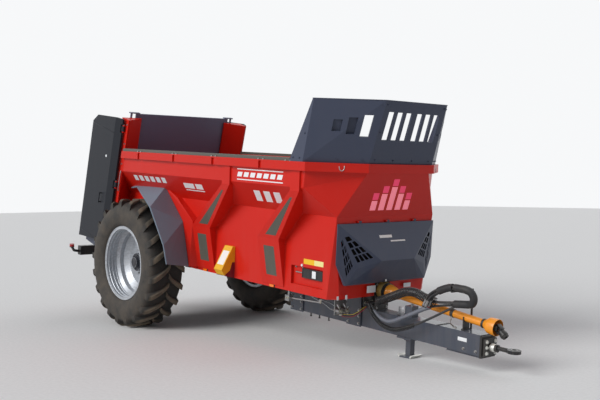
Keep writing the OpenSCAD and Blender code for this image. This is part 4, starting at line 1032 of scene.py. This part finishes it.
finished("guard_tube", bm, guard_plastic, GROUND, stands_for=["pto_guard"])

# Cross joint at its end: two yokes on a cross, and the sleeve that takes the tractor's shaft
YOKE_EDGE = 0.004
bm = bmesh.new()
add_rod(bm, (0, 0, SHAFT_L - 0.142), (0, 0, SHAFT_L - 0.045), 0.024, place=SHAFT)
for side, _ in SIDES:
    low, high = side * 0.038 - 0.007, side * 0.038 + 0.007
    add_block(bm, (-0.026, low, SHAFT_L - 0.055), (0.026, high, SHAFT_L + 0.018), YOKE_EDGE, SHAFT)
    low, high = side * 0.036 - 0.007, side * 0.036 + 0.007
    add_block(bm, (low, -0.026, -0.024), (high, 0.026, 0.045), YOKE_EDGE, YOKE)
add_block(bm, (-0.02, -0.04, SHAFT_L - 0.06), (0.02, 0.04, SHAFT_L - 0.043), YOKE_EDGE, SHAFT)
add_rod(bm, (0, -0.041, SHAFT_L), (0, 0.041, SHAFT_L), 0.013, place=SHAFT)
add_rod(bm, (-0.038, 0, -0.002), (0.038, 0, -0.002), 0.013, place=YOKE)
add_block(bm, (-0.043, -0.03, 0.033), (0.043, 0.03, 0.05), YOKE_EDGE, YOKE)
sleeve = [(0.018, 0.045), (0.034, 0.045), (0.038, 0.053), (0.038, 0.08), (0.043, 0.085), (0.043, 0.108)]
sleeve += [(0.038, 0.113), (0.037, 0.127), (0.035, 0.13), (0.019, 0.13), (0.018, 0.127)]
add_spun(bm, sleeve, 36, YOKE)
finished("cross_joint", bm, yoke_paint, GROUND, stands_for=["pto_yoke"])

# Bolts on the shaft gearbox, the nose and the drawbar's brackets, and a ring round the tow eye's hole
bm = bmesh.new()
for y in (-0.085, 0.085):
    for z in (0.755, 1.03):
        add_bolt(bm, (3.69, y, z), (1, 0, 0), 0.017)
for x in (5.0, 5.16):
    for side, _ in SIDES:
        add_bolt(bm, (x, side * 0.1, 0.545), (0, side, 0), 0.02)
for x in (2.21, 2.39, 3.26, 3.44):
    for z in (0.53, 0.62, 0.69):
        for side, _ in SIDES:
            add_bolt(bm, (x, side * 0.116, z), (0, side, 0), 0.021)
ring = [(0.026, 0.0), (0.036, 0.0), (0.036, 0.004), (0.026, 0.004)]
add_spun(bm, ring, 36, moved(5.564, 0, 0.632))
finished("front_bolts", bm, bright_steel)

# Nose plate: six bolts, and the collar on the tow eye's shank
bm = bmesh.new()
for y in (-0.07, 0.07):
    for z in (0.545, 0.605, 0.665):
        add_bolt(bm, (5.275, y, z), (1, 0, 0), 0.024)
collar = [(0.03, 0.0), (0.041, 0.0), (0.0425, 0.004), (0.0425, 0.05), (0.039, 0.056), (0.02, 0.056)]
add_spun(bm, collar, 36, moved(5.285, 0, 0.605) @ turned(90, "Y"))
finished("hitch_bolts", bm, fitting_zinc)

# Jack: the turned-up lips of its foot, before and behind
JACK_X = 2.3256
JACK_LIP_Y = 0.0856
bm = bmesh.new()
for side, _ in SIDES:
    lip = [(0.0735, 0.0186), (0.0935, 0.0368), (0.1058, 0.0262), (0.0806, 0.0006)]
    corners = [(JACK_X + side * x, -JACK_LIP_Y, z) for x, z in lip]
    add_plate(bm, corners if side > 0 else corners[::-1], 2 * JACK_LIP_Y)
finished("jack_foot_lips", bm, fitting_zinc, GROUND, "jack")

# Beam: the hoses' bracket, pegs and bands, the jack's crank, the cover's latch and the valves' levers
bm = bmesh.new()
add_block(bm, (4.03, -0.072, 0.727), (4.11, -0.066, 0.83), 0.002)
add_block(bm, (4.03, -0.072, 0.727), (4.11, -0.04, 0.733), 0.002)
add_rod(bm, (4.165, 0, 0.848), (4.165, 0, 0.872), 0.016)
add_rod(bm, (4.165, 0, 0.866), (4.165, 0.13, 0.874), 0.008)
add_rod(bm, (4.165, 0.127, 0.868), (4.165, 0.127, 0.95), 0.011)
finished("beam_fittings", bm, pipe_zinc)
bm = bmesh.new()
for x in (2.55, 2.71, 2.885):
    add_rod(bm, (x, -0.085, 0.508), (x, -0.085, 0.462), 0.009)
    add_rod(bm, (x, -0.085, 0.47), (x, -0.085, 0.462), 0.014)
add_block(bm, (3.777, -0.075, 1.078), (3.8, -0.045, 1.112), 0.003)
for x in (3.4, 4.62):
    add_block(bm, (x, -0.098, 0.727), (x + 0.03, 0.098, 0.731), 0.001)
finished("small_blacks", bm, black_plastic)
bm = bmesh.new()
add_block(bm, (3.799, -0.072, 1.082), (3.804, -0.048, 1.106), 0.001)
for y in (-0.44, -0.34):
    add_rod(bm, (3.44, y, 0.743), (3.435, y - 0.03, 0.79), 0.0065)
finished("white_levers", bm, white_film)

# Valves: hexagon ends, a canister, pipes behind and wires to the glands, and the brake's crank
bm = bmesh.new()
for y in (-0.44, -0.34):
    add_rod(bm, (3.47, y, 0.71), (3.482, y, 0.71), 0.027, sides=6)
    add_rod(bm, (3.482, y, 0.71), (3.498, y, 0.71), 0.016)
    add_rod(bm, (3.398, y, 0.71), (3.37, y, 0.71), 0.02, sides=6)
    add_rod(bm, (3.44, y, 0.744), (3.44, y, 0.756), 0.012, sides=6)
add_rod(bm, (3.43, -0.4, 0.655), (3.43, -0.4, 0.72), 0.022, 0.02)
for y in (-0.134, -0.170):
    add_rod(bm, (3.66, y, 0.832), (3.673, y, 0.832), 0.019, sides=6)
for y in (-0.205, -0.24):
    add_rod(bm, (3.66, y, 0.825), (3.673, y, 0.825), 0.0165, sides=6)
add_bolt(bm, (2.83, -0.735, 0.8), (0, -1, 0), 0.015)
add_bolt(bm, (2.865, -0.735, 0.8), (0, -1, 0), 0.015)
add_rod(bm, (3.403, -0.7, 0.818), (3.419, -0.7, 0.884), 0.009)
finished("valve_fittings", bm, zinc)
bm = bmesh.new()
add_rod(bm, (3.419, -0.7, 0.88), (3.419, -0.762, 0.882), 0.0125)
finished("crank_grip", bm, black_plastic)
for name, finish, off in (
    ("red", red_plastic, 0.0),
    ("black", black_plastic, 0.012),
    ("yellow", wire_yellow, 0.024),
):
    wire = [
        (3.38, -0.38 + off, 0.7), (3.34, -0.37 + off, 0.66), (3.42, -0.33 + off, 0.63 + off),
        (3.52, -0.27, 0.65 + off), (3.6, -0.2, 0.73 + off), (3.64, -0.17 + off, 0.795),
        (3.66, -0.13 - off, 0.79),
    ]
    new_tube("wire_" + name, smooth_route(wire, 5), 0.0035, finish, sides=3)
for k, y in enumerate((-0.44, -0.34)):
    drop = 0.03 * k
    pipe = [(3.372, y, 0.71), (3.3, y, 0.71), (3.2, y - 0.02, 0.76), (3.1, -0.6, 0.86)]
    pipe += [(2.95, -0.655, 0.985 - drop), (2.5, -0.656, 0.99 - drop)]
    pipe += [(-0.9, -0.656, 0.99 - drop), (-1.25, -0.656, 0.99 - drop)]
    new_tube(f"pipe_{k + 1}", smooth_route(pipe, 5), 0.007, pipe_zinc, sides=4)


def crosswise(side, low, high):
    """Two distances out to one side, as the lower and the higher y."""
    return sorted((side * low, side * high))


# Rear lamps: housings on the bumper with three lenses each, and bezels round the side lamps
LAMP_LIP = 0.008
LENS_PROUD = 0.001
housings, reds, ambers, whites = [bmesh.new() for _ in range(4)]
for side, _ in SIDES:
    low, high = crosswise(side, 0.85, 1.15)
    add_block(housings, (-1.734, low, 0.815), (-1.7005, high, 0.925), 0.004)
    for lens, near, far in ((reds, 0.86, 0.975), (whites, 0.98, 1.055), (ambers, 1.06, 1.14)):
        low, high = crosswise(side, near, far)
        back, front = (-1.734 - LENS_PROUD, low, 0.815 + LAMP_LIP), (-1.7205, high, 0.925 - LAMP_LIP)
        add_block(lens, back, front, 0.004)
    for foot, _ in RIBS:
        low, high = crosswise(side, 0.7895, 0.8)
        add_block(housings, (foot + 0.142, low, 0.902), (foot + 0.238, high, 0.9335), 0.003)
finished("lamp_housings", housings, black_plastic, stands_for=["rear_lamps"])
finished("rear_red_lenses", reds, red_lens)
finished("rear_amber_lenses", ambers, amber_lens)
finished("rear_clear_lenses", whites, white_film)

# Marker lamps: a rim and a lens at the tip of each arm
rims, reds = bmesh.new(), bmesh.new()
for side, _ in SIDES:
    low, high = Vector((-1.595, side * 1.35, 0.935)), Vector((-1.589, side * 1.355, 0.98))
    along = (high - low).normalized()
    add_rod(reds, low + along * 0.012, high + along * 0.0008, 0.0348)
    add_rod(rims, low - along * 0.002, low + along * 0.013, 0.0352)
finished("marker_rims", rims, black_plastic)
finished("marker_lenses", reds, red_lens)

# Wheel chock: a blank plate on its slope, and the cradle that carries it
bm = bmesh.new()
slope = [(1.7, -0.955, 1.072), (1.83, -0.955, 1.072), (1.83, -0.86, 1.24), (1.7, -0.86, 1.24)]
add_film(bm, slope, (0, -0.87, 0.49), 0.0012)
finished("chock_plate", bm, pale_film)
bm = bmesh.new()
cheek = [(-0.791, 0.897), (-0.93, 0.93), (-0.93, 0.95), (-0.86, 1.0), (-0.83, 1.1), (-0.791, 1.1)]
for x in (1.667, 1.852):
    add_plate(bm, [(x, y, z) for y, z in cheek], 0.011)
finished("chock_cradle", bm, cradle_paint)

# Conveyor: four loops of steel links
CHAIN_REAR = -0.96
CHAIN_FRONT = 3.4
CHAIN_Z = 1.09
CHAIN_R = 0.081
LINKS = 230


def new_link():
    """One long link, lying flat along x."""
    bm = bmesh.new()
    wire = [(0.0075 + 0.0038 * math.cos(a), 0.0038 * math.sin(a)) for a in (0.8, 2.37, 3.94, 5.5)]
    add_spun(bm, wire, 10, turned(18, "Z"))
    for vert in bm.verts:
        vert.co.x += math.copysign(0.016, vert.co.x)
    mesh = bpy.data.meshes.new("link")
    bm.to_mesh(mesh)
    bm.free()
    return mesh


def add_link(bm, mesh, place, number):
    """A copy of the link in its place, every second one rolled by a quarter turn."""
    old = len(bm.verts)
    bm.from_mesh(mesh)
    bm.verts.ensure_lookup_table()
    roll = turned(90 * (number % 2), "X")
    bmesh.ops.transform(bm, matrix=place @ roll, verts=bm.verts[old:])


def loop_place(share):
    """The place of a link on the loop, with x along it and z out of it."""
    run = CHAIN_FRONT - CHAIN_REAR
    bend = math.pi * CHAIN_R
    s = share * 2 * (run + bend)
    if s < run:
        return moved(CHAIN_REAR + s, 0, CHAIN_Z + CHAIN_R)
    if s < run + bend:
        turn, middle = (s - run) / CHAIN_R, CHAIN_FRONT
    elif s < 2 * run + bend:
        return moved(CHAIN_FRONT - (s - run - bend), 0, CHAIN_Z - CHAIN_R) @ turned(180, "Y")
    else:
        turn, middle = math.pi + (s - 2 * run - bend) / CHAIN_R, CHAIN_REAR
    return moved(middle, 0, CHAIN_Z) @ Matrix.Rotation(turn, 4, "Y") @ moved(0, 0, CHAIN_R)


link = new_link()
for number, y in enumerate((-0.56, -0.17, 0.17, 0.56)):
    bm = bmesh.new()
    for k in range(LINKS):
        add_link(bm, link, moved(0, y, 0) @ loop_place(k / LINKS), k)
    finished(f"floor_chain_{number + 1}", bm, chain_steel, sharp=60, stands_for=["conveyor_chains"])

# The guard's short chain, from its collar down to the beam
bm = bmesh.new()
drop = smooth_route([(4.77, -0.04, 0.838), (4.79, -0.07, 0.768), (4.87, -0.075, 0.738)], 2)
for k, (start, end) in enumerate(zip(drop, drop[1:])):
    add_link(bm, link, Matrix.Translation((start + end) / 2) @ along_way(start, end, "X"), k)
finished("guard_chain", bm, worn_steel, sharp=60)

# Rubber seals beside the slats
bm = bmesh.new()
for side, _ in SIDES:
    low, high = crosswise(side, 0.662, 0.7445)
    add_block(bm, (-0.88, low, 1.16), (3.32, high, 1.167), 0.002)
finished("floor_seals", bm, black_plastic)

# Rear frame: the beaters' bearings, hinge pins, pipes, bolts, and ribs on the gate
bearing = [(0, 1.7895), (0.092, 1.7895), (0.092, 1.8), (0.06, 1.806), (0.055, 1.828), (0.05, 1.832)]
bearing += [(0, 1.832)]
flange = [(0.1, -0.019), (0.132, -0.019), (0.132, -0.006), (0.1, -0.006)]
bm, blacks = bmesh.new(), bmesh.new()
for side, _ in SIDES:
    place = beater_place(side)
    add_spun(blacks, bearing, 40, place)
    add_spun(blacks, flange, 40, place)
    for x, y in round_spots(4, 0.075, 45):
        add_bolt(bm, (x, y, 1.7985), (0, 0, 1), 0.015, place)
    for x, y in round_spots(8, 0.124):
        add_bolt(bm, (x, y, -0.006), (0, 0, 1), 0.011, place)
    for w in (0.2, 0.95, 1.79):
        add_rod(bm, (0.15, side * 1.076, w + 0.0935), (0.15, side * 1.076, w + 0.1015), 0.0115, place=REAR)
    for w in (0.12, 0.42, 0.72, 1.02, 1.32, 1.62, 1.9):
        add_bolt(bm, (0.19, side * 1.05, w), (0, side, 0), 0.015, REAR)
    for w in (-0.08, -0.045, 1.73, 1.765):
        for u in (-0.05, -0.3):
            add_bolt(bm, (u, side * 1.05, w), (0, side, 0), 0.015, REAR)
finished("rear_bolts", bm, bright_steel, GROUND)
finished("bearings", blacks, black_paint, GROUND)
for side, label in SIDES:
    pipe = [(0.2, side * y, w) for y, w in ((1.056, 0.91), (1.062, 0.95), (1.062, 1.18), (1.056, 1.22))]
    new_tube("post_pipe_" + label, pipe, 0.006, pipe_zinc, place=REAR)
bm = bmesh.new()
for w in (0.42, 0.82, 1.22, 1.62, 1.95):
    add_block(bm, (-0.034, -0.775, w - 0.025), (-0.0145, 0.775, w + 0.025), 0.004, REAR)
finished("gate_ribs", bm, gate_paint, GROUND, "gate_body")

# Beaters: helical flights round the tube, blades on their edges, and the disc with its paddles
BORE_R = 0.03005
TUBE_R = 0.07
DISC_R = 0.48
DISC_Z = 0.15
DISC_TOP = 0.16
FLIGHT_Z = 0.29
FLIGHT_PITCH = 0.76
FLIGHT_TURN = 620
FLIGHT_STEP = 5
FLIGHT_STARTS = (0, 180)
PADDLE_TURNS = (45, 135, 225, 315)


def add_flight(bm, side, start, place):
    """One helical flight: the section of its plate, spun up round the shaft and closed at its ends."""
    before = set(bm.verts)
    section = [(0.058, FLIGHT_Z), (0.335, FLIGHT_Z), (0.335, FLIGHT_Z + 0.012), (0.058, FLIGHT_Z + 0.012)]
    bmesh.ops.spin(
        bm,
        geom=new_outline(bm, section),
        cent=(0, 0, 0),
        axis=(0, 0, 1),
        dvec=(0, 0, FLIGHT_PITCH * FLIGHT_STEP / 360),
        angle=math.radians(-side * FLIGHT_TURN),
        steps=FLIGHT_TURN // FLIGHT_STEP,
    )
    made = [vert for vert in bm.verts if vert not in before]
    open_edges = [edge for edge in edges_within(set(made)) if len(edge.link_faces) == 1]
    bmesh.ops.holes_fill(bm, edges=open_edges, sides=4)
    bmesh.ops.recalc_face_normals(bm, faces=faces_round(made))
    bmesh.ops.transform(bm, matrix=place @ turned(start, "Z"), verts=made)


def blade_places(side, start):
    """The places of the ten blades along one flight, each with x out from the shaft."""
    made = []
    for angle in range(30, FLIGHT_TURN, 60):
        rise = FLIGHT_Z + angle / 360 * FLIGHT_PITCH
        made.append(beater_place(side) @ moved(0, 0, rise) @ turned(start - side * angle, "Z"))
    return made


tube_profile = [(BORE_R, 0.111), (TUBE_R, 0.111), (TUBE_R, 1.699), (0.03, 1.699), (0.03, 1.759)]
tube_profile += [(0, 1.759), (0, 0.21), (BORE_R, 0.21)]
disc_profile = [(TUBE_R - 0.001, DISC_Z), (DISC_R, DISC_Z), (DISC_R, DISC_TOP), (TUBE_R - 0.001, DISC_TOP)]
for side, label in SIDES:
    bm = bmesh.new()
    shaft = beater_place(side)
    add_spun(bm, tube_profile, 48, shaft)
    add_spun(bm, disc_profile, 96, shaft)
    for start in FLIGHT_STARTS:
        add_flight(bm, side, start, shaft)
        for place in blade_places(side, start):
            add_block(bm, (0.265, -0.042, -0.002), (0.36, 0.042, 0.018), 0.002, place)
            add_block(bm, (0.36, -0.03, -0.002), (0.43, 0.03, 0.018), 0.002, place)
    for turn in PADDLE_TURNS:
        place = shaft @ turned(turn, "Z")
        add_block(bm, (0.06, -0.006, DISC_TOP), (DISC_R - 0.015, 0.006, DISC_TOP + 0.08), 0.002, place)
    name = "beater_" + label
    finished(name + "_metal", bm, red_paint, GROUND, "beater_" + label[0], stands_for=[name])

# Bolted edges on the blades, and bolted feet and edges on the paddles
for side, label in SIDES:
    bolts, edges = bmesh.new(), bmesh.new()
    for start in FLIGHT_STARTS:
        for place in blade_places(side, start):
            for x, y in ((0.283, -0.022), (0.283, 0.022), (0.328, 0.0)):
                add_bolt(bolts, (x, y, 0.018), (0, 0, 1), 0.015, place)
            add_block(edges, (0.395, -0.0305, -0.0028), (0.4295, 0.0305, 0.0188), 0.002, place)
            add_block(edges, (0.352, -0.0305, 0.0168), (0.396, 0.0305, 0.0192), 0.0008, place)
    for turn in PADDLE_TURNS:
        place = beater_place(side) @ turned(turn, "Z")
        for x in (0.14, 0.27, 0.4):
            add_bolt(bolts, (x, 0.02, DISC_TOP), (0, 0, 1), 0.013, place)
        add_block(edges, (0.1, 0.0055, DISC_TOP), (0.462, 0.034, DISC_TOP + 0.0035), 0.001, place)
        add_block(edges, (0.33, -0.0085, 0.17), (0.4655, 0.0085, 0.242), 0.002, place)
    finished("beater_bolts_" + label[0], bolts, bright_steel, GROUND, "beater_" + label[0])
    finished("blade_edges_" + label[0], edges, blade_steel, GROUND, "beater_" + label[0])

# Doors: a round reflector and two folded beads each
for side, label in SIDES:
    bm = bmesh.new()
    place = REAR @ moved(-0.116, side * 1.1498, 1.357) @ turned(-90 * side, "X")
    add_spun(bm, [(0, 0), (0.019, 0), (0.019, 0.005), (0.015, 0.008), (0, 0.0085)], 28, place)
    finished("door_reflector_" + label, bm, white_film, GROUND, "door_" + label[0])
    bm = bmesh.new()
    low, high = crosswise(side, 1.1495, 1.1525)
    for back, w in ((-0.6, 0.06), (-0.58, 1.735)):
        add_block(bm, (back, low, w), (0.012, high, w + 0.012), 0.001, REAR)
    finished("door_beads_" + label, bm, door_paint, GROUND, "door_" + label[0])

# Underneath: clamps on the axle, and couplings on the driveline
bm = bmesh.new()
for side, _ in SIDES:
    low, high = crosswise(side, 0.668, 0.742)
    add_block(bm, (-0.115, low, 0.804), (0.115, high, 0.8178), 0.003)
    for x in (-0.088, 0.088):
        for y in (0.686, 0.724):
            add_rod(bm, (x, side * y, 0.785), (x, side * y, 0.957), 0.009)
            add_bolt(bm, (x, side * y, 0.804), (0, 0, -1), 0.017)
coupling = [(0.02, -0.008), (0.047, -0.008), (0.047, 0.008), (0.02, 0.008)]
for x in (0.42, 0.47, 1.92, 1.97, -0.62, -0.57):
    add_spun(bm, coupling, 36, moved(x, 0, 0.785) @ turned(90, "Y"))
finished("underside_fittings", bm, worn_steel)


# Studio
def new_floor():
    """A pale floor that keeps the shadow."""
    bm = bmesh.new()
    bmesh.ops.create_grid(bm, x_segments=1, y_segments=1, size=60)
    mesh = bpy.data.meshes.new("floor_plane")
    bm.to_mesh(mesh)
    bm.free()
    material = bpy.data.materials.new("floor_finish")
    material.use_nodes = True
    tree = material.node_tree
    where = add(tree, "TexCoord").outputs["Object"]
    grains = noise(tree, where, 25.0, 4.0)
    shade = mixed(tree, spread(tree, grains, 0.3, 0.7), (0.72, 0.715, 0.705, 1), (0.78, 0.775, 0.765, 1))
    skin = tree.nodes["Principled BSDF"]
    tree.links.new(shade, skin.inputs["Base Color"])
    skin.inputs["Roughness"].default_value = 0.9
    mesh.materials.append(material)
    in_scene("floor_plane", mesh)


def new_lamp(name, spread_angle, strength, spot):
    """A far, wide lamp that lights object and floor evenly from its spot's side."""
    data = bpy.data.lights.new(name, "SUN")
    data.angle = math.radians(spread_angle)
    data.energy = strength
    lamp = in_scene(name, data)
    lamp.location = spot
    lamp.rotation_euler = (-Vector(spot)).to_track_quat("-Z", "Y").to_euler()


def new_sky():
    """An even sky that the camera and the gloss see as near white."""
    world = bpy.data.worlds.new("sky")
    bpy.context.scene.world = world
    world.use_nodes = True
    tree = world.node_tree
    tree.nodes.clear()
    lit = add(tree, "Background", {"Color": (0.88, 0.92, 1.0, 1), "Strength": 0.3})
    seen = add(tree, "Background", {"Color": (0.93, 0.94, 0.95, 1), "Strength": 1.0})
    rays = add(tree, "LightPath")
    plain = sums(tree, "MAXIMUM", rays.outputs["Is Camera Ray"], rays.outputs["Is Transmission Ray"])
    plain = sums(tree, "MAXIMUM", plain, rays.outputs["Is Glossy Ray"])
    pick = add(tree, "MixShader", {0: plain, 1: lit.outputs[0], 2: seen.outputs[0]})
    out = tree.nodes.new("ShaderNodeOutputWorld")
    tree.links.new(pick.outputs[0], out.inputs["Surface"])


new_floor()
new_sky()
new_lamp("key", 35.0, 2.35, (-1.5, -9.0, 5.5))
new_lamp("fill", 60.0, 0.5, (0.5, 7.0, 8.0))
bpy.context.scene.view_settings.view_transform = "Standard"
